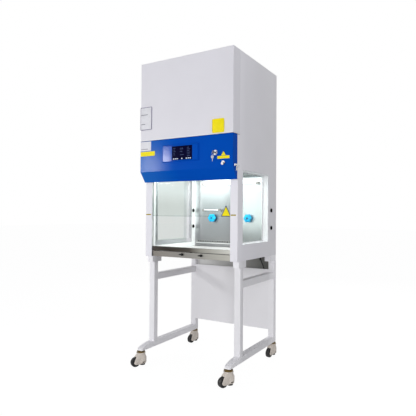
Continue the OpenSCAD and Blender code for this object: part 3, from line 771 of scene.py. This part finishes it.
class Bench:
    """Modelling steps with operators: every piece ends in place with its object at the origin."""

    @staticmethod
    def mode(name: str) -> None:
        """Goes into a mode."""
        bpy.ops.object.mode_set(mode=name)

    @staticmethod
    def link(thing: Piece) -> None:
        """Puts a new object into the scene."""
        bpy.context.scene.collection.objects.link(thing)

    @staticmethod
    def clear() -> None:
        """Leaves nothing selected."""
        if bpy.context.object is not None and bpy.context.object.mode != "OBJECT":
            Bench.mode("OBJECT")
        bpy.ops.object.select_all(action="DESELECT")

    @staticmethod
    def only(piece: Piece) -> None:
        """Selects one piece and makes it active."""
        Bench.clear()
        piece.select_set(True)
        bpy.context.view_layer.objects.active = piece

    @staticmethod
    def seat(piece: Piece) -> Piece:
        """Moves the place of a piece into its mesh."""
        Bench.only(piece)
        bpy.ops.object.transform_apply(location=True, rotation=True, scale=True)
        return piece

    @staticmethod
    def block(name: str, low: Point, high: Point) -> Piece:
        """A box between two corners."""
        Bench.clear()
        low_v, high_v = Vector(low), Vector(high)
        bpy.ops.mesh.primitive_cube_add(size=1.0, location=(low_v + high_v) / 2)
        piece = bpy.context.object
        piece.name = name
        piece.scale = high_v - low_v
        return Bench.seat(piece)

    @staticmethod
    def drum(
        name: str, radius: float, depth: float, centre: Point, axis: Point, sides: int = 48
    ) -> Piece:
        """A round bar about its centre, along an axis."""
        Bench.clear()
        bpy.ops.mesh.primitive_cylinder_add(vertices=sides, radius=radius, depth=depth)
        piece = bpy.context.object
        piece.name = name
        turn = Vector((0, 0, 1)).rotation_difference(Vector(axis).normalized())
        piece.matrix_world = Matrix.Translation(Vector(centre)) @ turn.to_matrix().to_4x4()
        return Bench.seat(piece)

    @staticmethod
    def wire(name: str, points: Sequence[Point], radius: float, resolution: int) -> Piece:
        """A curve of round section with closed ends."""
        data = bpy.data.curves.new(name, "CURVE")
        data.dimensions = "3D"
        data.bevel_depth = radius
        data.bevel_resolution = resolution
        data.use_fill_caps = True
        spline = data.splines.new("POLY")
        spline.points.add(len(points) - 1)
        for point, place in zip(spline.points, points):
            point.co = (*place, 1.0)
        piece = bpy.data.objects.new(name, data)
        Bench.link(piece)
        return piece

    @staticmethod
    def pick_faces(piece: Piece, test: Callable[[bpy.types.MeshPolygon], bool]) -> None:
        """Goes into edit mode with the faces that pass a test selected."""
        Bench.only(piece)
        Bench.mode("EDIT")
        bpy.ops.mesh.select_all(action="DESELECT")
        bpy.ops.mesh.select_mode(type="FACE")
        Bench.mode("OBJECT")
        for face in piece.data.polygons:
            face.select = test(face)
        Bench.mode("EDIT")

    @staticmethod
    def inset_press(piece: Piece, normal: Point, inset: float, push: float) -> None:
        """Insets the faces that look along a normal and pushes them along it."""
        way = Vector(normal)
        Bench.pick_faces(piece, lambda face: face.normal.dot(way) > 0.95)
        bpy.ops.mesh.inset(thickness=inset, depth=0.0)
        bpy.ops.mesh.extrude_region_move(
            TRANSFORM_OT_translate={"value": tuple(way * push), "orient_type": "GLOBAL"}
        )
        Bench.mode("OBJECT")

    @staticmethod
    def apply(piece: Piece, kind: str, **settings: object) -> Piece:
        """Adds a modifier, sets it and applies it."""
        Bench.only(piece)
        modifier = piece.modifiers.new(kind.title(), kind)
        for key, value in settings.items():
            setattr(modifier, key, value)
        bpy.ops.object.modifier_apply(modifier=modifier.name)
        return piece

    @staticmethod
    def round_off(piece: Piece, width: float, segments: int = 2) -> Piece:
        """Rounds the sharp edges of a piece."""
        return Bench.apply(
            piece, "BEVEL", width=width, segments=segments, limit_method="ANGLE", angle_limit=SHARP
        )

    @staticmethod
    def smooth(piece: Piece) -> None:
        """Smooths the shading except across sharp edges."""
        Bench.only(piece)
        bpy.ops.object.shade_smooth_by_angle(angle=SHARP)

    @staticmethod
    def fuse(name: str, pieces: Sequence[Piece]) -> Piece:
        """Joins pieces into one."""
        Bench.clear()
        for piece in pieces:
            piece.select_set(True)
        bpy.context.view_layer.objects.active = pieces[0]
        bpy.ops.object.join()
        pieces[0].name = name
        return pieces[0]

    @staticmethod
    def twin(piece: Piece, name: str, move: Matrix) -> Piece:
        """A copy with its own mesh, moved by a matrix."""
        copy = piece.copy()
        copy.data = piece.data.copy()
        copy.name = name
        Bench.link(copy)
        copy.matrix_world = move
        return Bench.seat(copy)


@dataclass
class Shop:
    """Hands finished pieces over to the frame and keeps the log."""

    palette: Palette
    count: int = 0

    def hand_over(
        self,
        piece: Piece,
        body: str,
        finish: str,
        replaces: Sequence[str] = (),
    ) -> Piece:
        """Finishes a piece and hangs it on its body.

        Args:
            piece: the piece, in place.
            body: the body that it rides on.
            finish: the name of its finish.
            replaces: CAD nodes that it stands for.

        Returns:
            The piece.
        """
        piece.data.materials.clear()
        piece.data.materials.append(self.palette[finish])
        if piece.type == "MESH":
            Bench.smooth(piece)
        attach(piece, body)
        if replaces:
            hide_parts(*replaces)
        self.count += 1
        LOG.info("%s rides on %s", piece.name, body)
        return piece


# ---------------- camera and studio


@dataclass
class Studio:
    """Pale floor, soft lamps and the camera."""

    eye: Point = (1.5008, -2.5109, 0.9779)
    yaw: float = 30.955
    pitch: float = 0.838
    roll: float = 0.394
    lens: float = 37.79
    lamps: tuple[tuple[str, Point, Point, float, float], ...] = (
        ("glint", (-2.69, -3.5, 1.66), (-0.2, 0.0, 1.2), 0.45, 24.0),
        ("key", (-1.6, -4.0, 1.6), (0.0, 0.0, 1.0), 2.4, 8.0),
        ("fill", (0.6, -4.2, 0.3), (0.0, 0.0, 0.5), 3.0, 88.0),
        ("side", (2.8, -0.5, 2.9), (0.3, 0.0, 1.6), 2.0, 19.0),
        ("back", (-0.8, 3.2, 2.4), (0.0, 0.0, 1.0), 2.6, 26.0),
    )

    def camera(self) -> None:
        """Places the camera."""
        yaw, pitch, roll = (math.radians(a) for a in (self.yaw, self.pitch, self.roll))
        ahead = Vector(
            (-math.sin(yaw) * math.cos(pitch), math.cos(yaw) * math.cos(pitch), math.sin(pitch))
        )
        right = Vector((math.cos(yaw), math.sin(yaw), 0.0))
        up = right.cross(ahead)
        right, up = (
            math.cos(roll) * right + math.sin(roll) * up,
            -math.sin(roll) * right + math.cos(roll) * up,
        )
        turn = Matrix((right, up, -ahead)).transposed().to_4x4()
        data = bpy.data.cameras.new("view")
        data.lens = self.lens
        data.sensor_width = 36.0
        data.clip_start = 0.05
        camera = bpy.data.objects.new("view", data)
        camera.matrix_world = Matrix.Translation(self.eye) @ turn
        Bench.link(camera)
        bpy.context.scene.camera = camera

    def floor(self) -> None:
        """A large pale floor that keeps the shadow and fades into the backdrop."""
        Bench.clear()
        bpy.ops.mesh.primitive_plane_add(size=60.0, location=(0, 0, 0))
        floor = bpy.context.object
        floor.name = "floor"
        g = Graph("floor_white")
        dust = g.noise(1.5, 3.0)
        g.shade(Base_Color=g.mix(dust, (0.80, 0.80, 0.80), (0.82, 0.82, 0.82)), Roughness=0.8)
        white = g.add("ShaderNodeEmission", None, {"Color": (1.0, 1.0, 1.0), "Strength": 1.06})
        path = g.add("ShaderNodeLightPath")
        seen = Signal(g, path.outputs["Is Camera Ray"])
        glossy = Signal(g, path.outputs["Is Glossy Ray"])
        through = Signal(g, path.outputs["Is Transmission Ray"])
        share = g.math("MINIMUM", (seen + glossy + through) * 0.9, 0.9)
        g.blend(share, g.surface, white)
        floor.data.materials.append(g.material)

    def world(self) -> None:
        """Plain pale surroundings, white to the camera and in mirrors."""
        world = bpy.data.worlds.new("studio")
        bpy.context.scene.world = world
        tree = Tree(world, "ShaderNodeOutputWorld")
        pale = {"Color": (0.96, 0.97, 1.0), "Strength": 0.35}
        light = tree.add("ShaderNodeBackground", None, pale)
        seen = tree.add("ShaderNodeBackground", None, {"Color": (1.0, 1.0, 1.0)})
        path = tree.add("ShaderNodeLightPath")
        share = Signal(tree, path.outputs["Is Camera Ray"])
        for kind in ("Is Glossy Ray", "Is Transmission Ray"):
            share = tree.math("MAXIMUM", share, Signal(tree, path.outputs[kind]))
        tree.blend(share, light, seen)

    def lights(self) -> None:
        """Large soft lamps round the cabinet and the cabinet's own light."""
        for name, place, aim, size, power in self.lamps:
            way = (Vector(aim) - Vector(place)).to_track_quat("-Z", "Y")
            turn = Matrix.Translation(place) @ way.to_matrix().to_4x4()
            self.lamp(name, turn, size, power)
        inside = self.lamp("chamber_light", Matrix.Translation((0.0, 0.03, 1.245)), 0.5, 4.2)
        inside.shape = "RECTANGLE"
        inside.size_y = 0.42

    @staticmethod
    def lamp(name: str, place: Matrix, size: float, power: float) -> bpy.types.AreaLight:
        """One area lamp."""
        data = bpy.data.lights.new(name, "AREA")
        data.size = size
        data.energy = power
        lamp = bpy.data.objects.new(name, data)
        lamp.matrix_world = place
        Bench.link(lamp)
        return data

    def build(self) -> None:
        """Builds the studio."""
        self.camera()
        self.floor()
        self.world()
        self.lights()
        bpy.context.scene.view_settings.view_transform = "Standard"


# ---------------- mains lead


@dataclass
class MainsLead:
    """Rubber mains lead: out of the gland, down the rear panel and into a coil, with a plug."""

    radius: float = 0.004
    route: tuple[Point, ...] = tuple(
        (x, 0.321, z) for x, z in (
            (0.234, 0.689), (0.2343, 0.683), (0.2355, 0.675), (0.238, 0.665), (0.242, 0.653),
            (0.247, 0.641), (0.2526, 0.628), (0.2585, 0.614), (0.2642, 0.600), (0.2695, 0.585),
            (0.274, 0.569), (0.2776, 0.552), (0.280, 0.534), (0.2814, 0.516), (0.282, 0.498),
            (0.282, 0.480), (0.282, 0.462), (0.282, 0.446),
        )
    )
    centre: Point = (0.231, 0.325, 0.418)
    slots: tuple[Pair, ...] = (
        (0.051, -0.004), (0.043, -0.004), (0.035, -0.004), (0.035, 0.004),
        (0.043, 0.004), (0.051, 0.004), (0.059, 0.004),
    )
    shifts: tuple[Pair, ...] = (
        (0.68, 0.98), (0.66, 0.97), (0.34, 0.64), (0.02, 0.33), (0.00, 0.30), (0.00, 0.30),
    )
    end: Point = (0.280, 0.334, 0.364)
    per_turn: int = 28

    def coil(self) -> list[Point]:
        """The turns of the coil, each moving over to its next place in the winding."""
        cx, cy, cz = self.centre
        points = []
        for turn, (start, end) in enumerate(self.shifts):
            (r0, y0), (r1, y1) = self.slots[turn], self.slots[turn + 1]
            for step in range(self.per_turn):
                f = step / self.per_turn
                t = ease(min(1.0, max(0.0, (f - start) / (end - start))))
                r, y = r0 + (r1 - r0) * t, y0 + (y1 - y0) * t
                angle = -2 * math.pi * f
                points.append((cx + r * math.cos(angle), cy + y, cz + r * math.sin(angle)))
        r, y = self.slots[-1]
        points.append((cx + r, cy + y, cz))
        return points

    def tail(self) -> list[Point]:
        """The easy double bend from the coil into the plug."""
        start, end = Vector(self.coil()[-1]), Vector(self.end)
        points = []
        for step in range(1, 13):
            t = step / 12
            x, y, _ = start.lerp(end, ease(t))
            points.append((x, y, start.z + (end.z - start.z) * t))
        return points

    def line(self) -> list[Point]:
        """The whole centreline."""
        return [*self.route, *self.coil(), *self.tail()]

    def measure(self) -> float:
        """The centreline's length."""
        line = [Vector(p) for p in self.line()]
        return sum((b - a).length for a, b in zip(line, line[1:]))

    def build(self, shop: Shop, frame: dict) -> None:
        lead = Bench.wire("mains_lead", self.line(), self.radius, 4)
        shop.hand_over(lead, "cabinet", "lead_rubber", ["cord_run", "cord_coil"])
        relief = self.relief(shop)
        sleeve = self.sleeve(shop)
        self.route[0]
        round(self.measure(), 2)
        frame["nodes"]["cord_plug"]

    def sleeve(self, shop: Shop) -> Piece:
        """The tapered rubber sleeve that follows the lead into the plug."""
        piece = Bench.wire("lead_sleeve", self.tail()[5:], 0.0056, 5)
        for index, point in enumerate(piece.data.splines[0].points):
            rib = 0.06 if index % 2 else 0.0
            point.radius = 0.86 + 0.14 * min(1.0, index / 4) + rib
        Bench.only(piece)
        bpy.ops.object.convert(target="MESH")
        return shop.hand_over(bpy.context.object, "cabinet", "black_moulding")

    def relief(self, shop: Shop) -> Piece:
        """The ribbed, tapered strain relief under the casing."""
        x, y, z = self.route[0]
        rings = []
        stations = [(0.014, 0.0105), (0.006, 0.0105), (0.005, 0.008), (0.0, 0.0078)]
        for i in range(1, 8):
            drop, waist = (0.0015, 0.0008) if i % 2 else (0.0, 0.0)
            stations.append((-0.004 * i - drop, 0.0075 - 0.0004 * i - waist))
        for lift, radius in stations:
            ring = Bench.drum("ring", radius, 0.0022, (x, y, z + lift), (0, 0, 1), 28)
            rings.append(Bench.round_off(ring, 0.0005, 1))
        core = Bench.drum("core", 0.0052, 0.044, (x + 0.0003, y, z - 0.008), (0, 0, 1), 28)
        relief = Bench.fuse("lead_relief", [core, *rings])
        return shop.hand_over(relief, "cabinet", "black_moulding", ["cord_gland"])


# ---------------- labels


@dataclass(frozen=True)
class Label:
    """A thin adhesive piece on a face that looks forward, with rounded corners."""

    name: str
    low: Pair
    high: Pair
    depth: float
    finish: str
    body: str = "cabinet"
    thickness: float = 0.0004
    corner: float = 0.002

    def build(self, shop: Shop) -> None:
        """Cuts the label and sticks it on; low and high are X and Z on the face at Y depth."""
        piece = Bench.block(
            self.name,
            (self.low[0], self.depth - self.thickness, self.low[1]),
            (self.high[0], self.depth, self.high[1]),
        )
        Bench.only(piece)
        Bench.mode("EDIT")
        bpy.ops.mesh.select_all(action="DESELECT")
        Bench.mode("OBJECT")
        for edge in piece.data.edges:
            a, b = (piece.data.vertices[i].co for i in edge.vertices)
            edge.select = abs(a.y - b.y) > self.thickness / 2
        Bench.mode("EDIT")
        bpy.ops.mesh.bevel(offset=self.corner, segments=4, affect="EDGES")
        Bench.mode("OBJECT")
        shop.hand_over(piece, self.body, self.finish)


@dataclass(frozen=True)
class Triangle:
    """A blank triangular label with a darker rim."""

    name: str
    centre: Pair
    size: Pair
    depth: float
    body: str
    thickness: float = 0.0005

    def build(self, shop: Shop) -> None:
        """Cuts the rim and the face and sticks them on."""
        radius = self.size[0] / math.sqrt(3)
        stretch = self.size[1] / (1.5 * radius)
        turn = Matrix.Rotation(math.radians(90), 4, "X")
        x, z = self.centre[0], self.centre[1] - 0.25 * radius * stretch
        layers = (
            ("rim", 1.0, "print_dark", 0.0), ("face", 0.80, "label_yellow", self.thickness)
        )
        for layer, scale, finish, lift in layers:
            Bench.clear()
            bpy.ops.mesh.primitive_cylinder_add(vertices=3, radius=radius, depth=self.thickness)
            piece = bpy.context.object
            piece.name = f"{self.name}_{layer}"
            place = Matrix.Translation((x, self.depth - self.thickness / 2 - lift, z))
            piece.matrix_world = place @ Matrix.Diagonal((scale, 1.0, stretch * scale, 1.0)) @ turn
            Bench.seat(piece)
            low = min(v.co.z for v in piece.data.vertices)
            if layer == "rim":
                base = low
            for vertex in piece.data.vertices:
                vertex.co.z += base - low + (1.0 - scale) * 0.28 * self.size[1]
            Bench.apply(
                piece, "BEVEL", width=self.size[0] * 0.04, segments=3, limit_method="ANGLE",
                affect="EDGES", angle_limit=1.8,
            )
            shop.hand_over(piece, self.body, finish)


# ---------------- casing and chamber


@dataclass
class Casing:
    """Painted casing: labels with a painted highlight strip, window gaskets in a brighter white
    that is painted light, screws and the plugs of the test ports.
    """

    window_y: Pair = (REAR - 0.5199, REAR - 0.137)
    window_z: Pair = (0.7992, 1.2433)
    bead_x: Pair = (0.2966, 0.3000)
    sleeve_x: Pair = (0.3002, 0.3380)
    caps_x: Pair = (0.3435, 0.2875)
    ports_y: float = REAR - 0.089
    ports_z: Pair = (0.889, 1.008)
    labels: tuple[Label, ...] = (
        Label("plate_rim", (-0.3395, 1.521), (-0.249, 1.667), FRONT, "label_purple", corner=0.004),
        Label(
            "plate_face", (-0.3370, 1.5235), (-0.2515, 1.6645), FRONT - 0.0004, "label_white",
            corner=0.003,
        ),
        Label(
            "plate_rule_upper", (-0.335, 1.6175), (-0.283, 1.6205), FRONT - 0.0008, "label_line",
            corner=0.0005, thickness=0.0003,
        ),
        Label(
            "plate_rule_lower", (-0.335, 1.5570), (-0.303, 1.5600), FRONT - 0.0008, "label_line",
            corner=0.0005, thickness=0.0003,
        ),
        Label("notice_square", (0.203, 1.456), (0.281, 1.537), FRONT, "label_yellow", corner=0.006),
        # A bright strip along the cover's lower edge, above the hood: a painted highlight
        Label(
            "cover_painted_highlight", (-0.338, 1.4494), (0.338, 1.4555), FRONT, "painted_light_white",
            corner=0.0005, thickness=0.0006,
        ),
    )

    def build(self, shop: Shop) -> None:
        """Builds what is on the casing."""
        for label in self.labels:
            label.build(shop)
        self.gaskets(shop)
        self.caps(shop)
        self.rivets(shop)

    def gaskets(self, shop: Shop) -> None:
        """Glazing beads and sleeves round the openings of the side panes, in a brighter white that
        is painted light on the reveals.
        """
        for side, name in ((-1, "left"), (1, "right")):
            bead = self.surround(side, self.bead_x, 0.006)
            for piece in bead:
                Bench.round_off(piece, 0.001)
            bars = bead + self.surround(side, self.sleeve_x, 0.0006)
            trim = Bench.fuse(f"glazing_trim_{name}", bars)
            # The brighter white here is painted light on the reveals
            shop.hand_over(trim, "cabinet", "painted_light_white")

    def surround(self, side: int, span: Pair, bar: float) -> list[Piece]:
        """Four bars round the inside of a window's opening, over a span of X on one side."""
        x0, x1 = sorted(side * x for x in span)
        (y0, y1), (z0, z1) = self.window_y, self.window_z
        return [
            Bench.block("bar", (x0, y0, z0), (x1, y1, z0 + bar)),
            Bench.block("bar", (x0, y0, z1 - bar), (x1, y1, z1)),
            Bench.block("bar", (x0, y0, z0 + bar), (x1, y0 + bar, z1 - bar)),
            Bench.block("bar", (x0, y1 - bar, z0 + bar), (x1, y1, z1 - bar)),
        ]

    def caps(self, shop: Shop) -> None:
        """Domed caps over the plugs of the test ports, outside and in."""
        caps = []
        for side in (-1, 1):
            for z in self.ports_z:
                for x in self.caps_x:
                    place = (side * x, self.ports_y, z)
                    cap = Bench.drum("cap", 0.0135, 0.0030, place, (1, 0, 0), 40)
                    caps.append(Bench.round_off(cap, 0.0010))
        shop.hand_over(Bench.fuse("port_caps", caps), "cabinet", "plug_black")

    def rivets(self, shop: Shop) -> None:
        """Dome-head screws along the edges of the back panel."""
        heads = []
        first = Bench.drum("screw", 0.005, 0.0024, (0, 0, 0), (0, 1, 0), 20)
        Bench.inset_press(first, (0, 1, 0), 0.0028, -0.0009)
        Bench.round_off(first, 0.0007)
        rows = (0.75, 0.95, 1.15, 1.35, 1.55, 1.75, 1.93)
        places = [(x, z) for x in (-0.328, 0.328) for z in rows]
        places += [(x, z) for z in (0.712, 1.94) for x in (-0.18, 0.0, 0.18)]
        for x, z in places:
            heads.append(Bench.twin(first, "screw_head", Matrix.Translation((x, REAR + 0.0011, z))))
        bpy.data.objects.remove(first)
        shop.hand_over(Bench.fuse("back_screws", heads), "cabinet", "bright_chrome")


@dataclass
class Chamber:
    """Stainless work chamber: the sash triangle, the post tapes, the painted shade of the return
    holes and the tap wheels.
    """

    tap_z: float = 0.952
    tap_radius: float = 0.0300
    lobes: int = 6
    lobe_depth: float = 0.085
    hole_pitch: float = 0.0206

    def build(self, shop: Shop) -> None:
        """Builds the sash triangle, the post tapes, a black strip and black inserts in the return
        holes as painted shade, and the tap wheels.
        """
        glass = REAR - 0.5751
        Triangle("sash_triangle", (0.2563, 0.9995), (0.0685, 0.067), glass, "sash").build(shop)
        post, low, high = REAR - 0.5869, 0.9708, 0.9780
        for side, x0, x1 in (("left", -0.339, -0.300), ("right", 0.295, 0.329)):
            tape = Label(f"tape_{side}", (x0, low), (x1, high), post, "tape_amber", corner=0.0003)
            tape.build(shop)
        # A black strip behind the return slot and black inserts in its holes: painted shade where
        # the duct behind is dark
        mesh = [Bench.block("mesh", (-0.2695, 0.2868, 0.7722), (0.2695, 0.2876, 0.7838))]
        for i in range(-13, 13):
            x = i * self.hole_pitch + 0.0055
            mesh.append(Bench.block("mesh", (x, 0.2852, 0.7737), (x + 0.0096, 0.2868, 0.7823)))
        shop.hand_over(Bench.fuse("return_painted_shade", mesh), "cabinet", "duct_painted_shade_black")
        for side, x in (("left", -0.131), ("right", 0.161)):
            self.knob(shop, side, x)

    def knob(self, shop: Shop, side: str, x: float) -> None:
        """A six-lobed handwheel with a dished face, a raised hub and a dark spindle cap."""
        face, back, z = WALL_Y - 0.027, WALL_Y - 0.0115, self.tap_z
        middle = (x, (face + back) / 2, z)
        wheel = Bench.drum("wheel", self.tap_radius, back - face, middle, (0, 1, 0), 96)
        for vertex in wheel.data.vertices:
            out = Vector((vertex.co.x - x, 0.0, vertex.co.z - z))
            if out.length > 0.02:
                turn = math.atan2(out.z, out.x)
                dip = (1.0 + math.cos(self.lobes * (turn - math.radians(30)))) ** 1.5 / 2.0
                out = out * (1.0 - self.lobe_depth * dip)
                vertex.co.x, vertex.co.z = x + out.x, z + out.z
        Bench.inset_press(wheel, (0, -1, 0), 0.0055, 0.0030)
        Bench.round_off(wheel, 0.0018, 3)
        hub = Bench.drum("hub", 0.0105, 0.0050, (x, face + 0.0005, z), (0, 1, 0), 40)
        Bench.round_off(hub, 0.0012)
        body = f"tap_knob_{side}"
        whole = Bench.fuse(f"tap_wheel_{side}", [wheel, hub])
        shop.hand_over(whole, body, "knob_cyan", [body])
        cap = Bench.drum(f"tap_cap_{side}", 0.0062, 0.0016, (x, face - 0.0036, z), (0, 1, 0), 32)
        shop.hand_over(Bench.round_off(cap, 0.0004), body, "print_dark")


# ---------------- control hood


@dataclass
class ControlHood:
    """Blue control hood: blank labels, the lock triangle and the marks on the display."""

    screen_corner: Pair = (-0.083, 1.311)
    screen_y: float = FRONT - 0.008
    labels: tuple[Label, ...] = (
        Label("hood_plate", (-0.3395, 1.384), (-0.2545, 1.445), FRONT, "label_white", "hood"),
        Label(
            "hood_rule", (-0.334, 1.3945), (-0.279, 1.3975), FRONT - 0.0004, "label_line", "hood",
            0.0003, 0.0005,
        ),
        Label("hood_strip", (-0.339, 1.3505), (-0.223, 1.3797), FRONT, "label_yellow", "hood"),
        Label("lock_strip", (0.2364, 1.3025), (0.317, 1.319), FRONT, "label_yellow", "hood"),
    )

    def build(self, shop: Shop) -> None:
        """Builds the labels and the marks on the screen."""
        for label in self.labels:
            label.build(shop)
        Triangle("lock_triangle", (0.2776, 1.3345), (0.036, 0.030), FRONT, "hood").build(shop)
        self.marks(shop)

    def marks(self, shop: Shop) -> None:
        """Plain bars, dots and figures behind the screen's cover."""
        x0, z0 = self.screen_corner
        y = self.screen_y
        dots = (0.012, 0.026, 0.040, 0.074, 0.107, 0.121, 0.135)
        bars = [
            Bench.drum("dot", 0.0032, 0.0006, (x0 + x, y, z0 + 0.008), (0, 1, 0), 20) for x in dots
        ]
        faint = []
        rows = (
            (0.010, 0.072, 0.016), (0.010, 0.062, 0.012), (0.010, 0.052, 0.018),
            (0.010, 0.042, 0.010), (0.010, 0.032, 0.014), (0.112, 0.062, 0.022),
            (0.112, 0.052, 0.016), (0.112, 0.042, 0.024), (0.112, 0.032, 0.018),
            (0.112, 0.022, 0.022), (0.062, 0.030, 0.026),
        )
        for x, z, length in rows:
            low = (x0 + x, y - 0.0003, z0 + z)
            faint.append(Bench.block("bar", low, (low[0] + length, y + 0.0003, low[2] + 0.0018)))
        figures = (
            ("0.35", 0.060, 0.064, 0.013), ("0.30", 0.060, 0.048, 0.010),
            ("24.5", 0.112, 0.071, 0.008),
        )
        for text, x, z, size in figures:
            Bench.clear()
            bpy.ops.object.text_add()
            figure = bpy.context.object
            figure.data.body = text
            figure.data.size = size
            figure.data.extrude = 0.0003
            bpy.ops.object.convert(target="MESH")
            figure = bpy.context.object
            figure.matrix_world = Matrix.Translation((x0 + x, y, z0 + z)) @ Matrix.Rotation(
                math.radians(90), 4, "X"
            )
            faint.append(Bench.seat(figure))
        shop.hand_over(Bench.fuse("screen_rows", faint), "hood", "lcd_faint")
        shop.hand_over(Bench.fuse("screen_marks", bars), "hood", "lcd_mark")


# ---------------- stand


@dataclass
class Stand:
    """Painted stand on four levelling casters."""

    corners: tuple[str, ...] = ("fl", "fr", "rl", "rr")
    stem_x: float = 0.320
    front: Pair = (REAR - 0.651, -28.0)  # Y of the stems and how far the casters are turned
    rear: Pair = (REAR - 0.015, -8.0)

    def build(self, shop: Shop) -> None:
        """Builds the hub caps of the wheels."""
        for corner in self.corners:
            self.hub(shop, corner)

    def hub(self, shop: Shop, corner: str) -> None:
        """Pressed hub caps on both faces of a wheel."""
        x = self.stem_x * (-1 if corner[1] == "l" else 1)
        y, turn = self.front if corner[0] == "f" else self.rear
        place = Matrix.Translation((x, y, 0.0)) @ Matrix.Rotation(math.radians(turn), 4, "Z")
        caps = []
        for face in (-1, 1):
            cap = Bench.drum("cap", 0.0085, 0.004, (face * 0.0168, -0.038, 0.030), (1, 0, 0), 32)
            Bench.inset_press(cap, (face, 0, 0), 0.002, 0.0010)
            caps.append(Bench.round_off(cap, 0.0008))
        hub = Bench.fuse("hubs", caps)
        piece = Bench.twin(hub, f"hub_caps_{corner}", place)
        bpy.data.objects.remove(hub)
        shop.hand_over(piece, f"caster_{corner}", "caster_ivory")


# ---------------- main


def main() -> None:
    """Loads the frame, dresses it and builds every piece and the studio."""
    logging.basicConfig(level=logging.INFO, format="%(name)s: %(message)s")
    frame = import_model()
    palette = Palette()
    shop = Shop(palette)
    Studio().build()
    MainsLead().build(shop, frame)
    palette.dress(frame)
    for part in (Casing(), Chamber(), ControlHood(), Stand()):
        part.build(shop)
    LOG.info("%d pieces", shop.count)


if __name__ == "__main__":
    main()
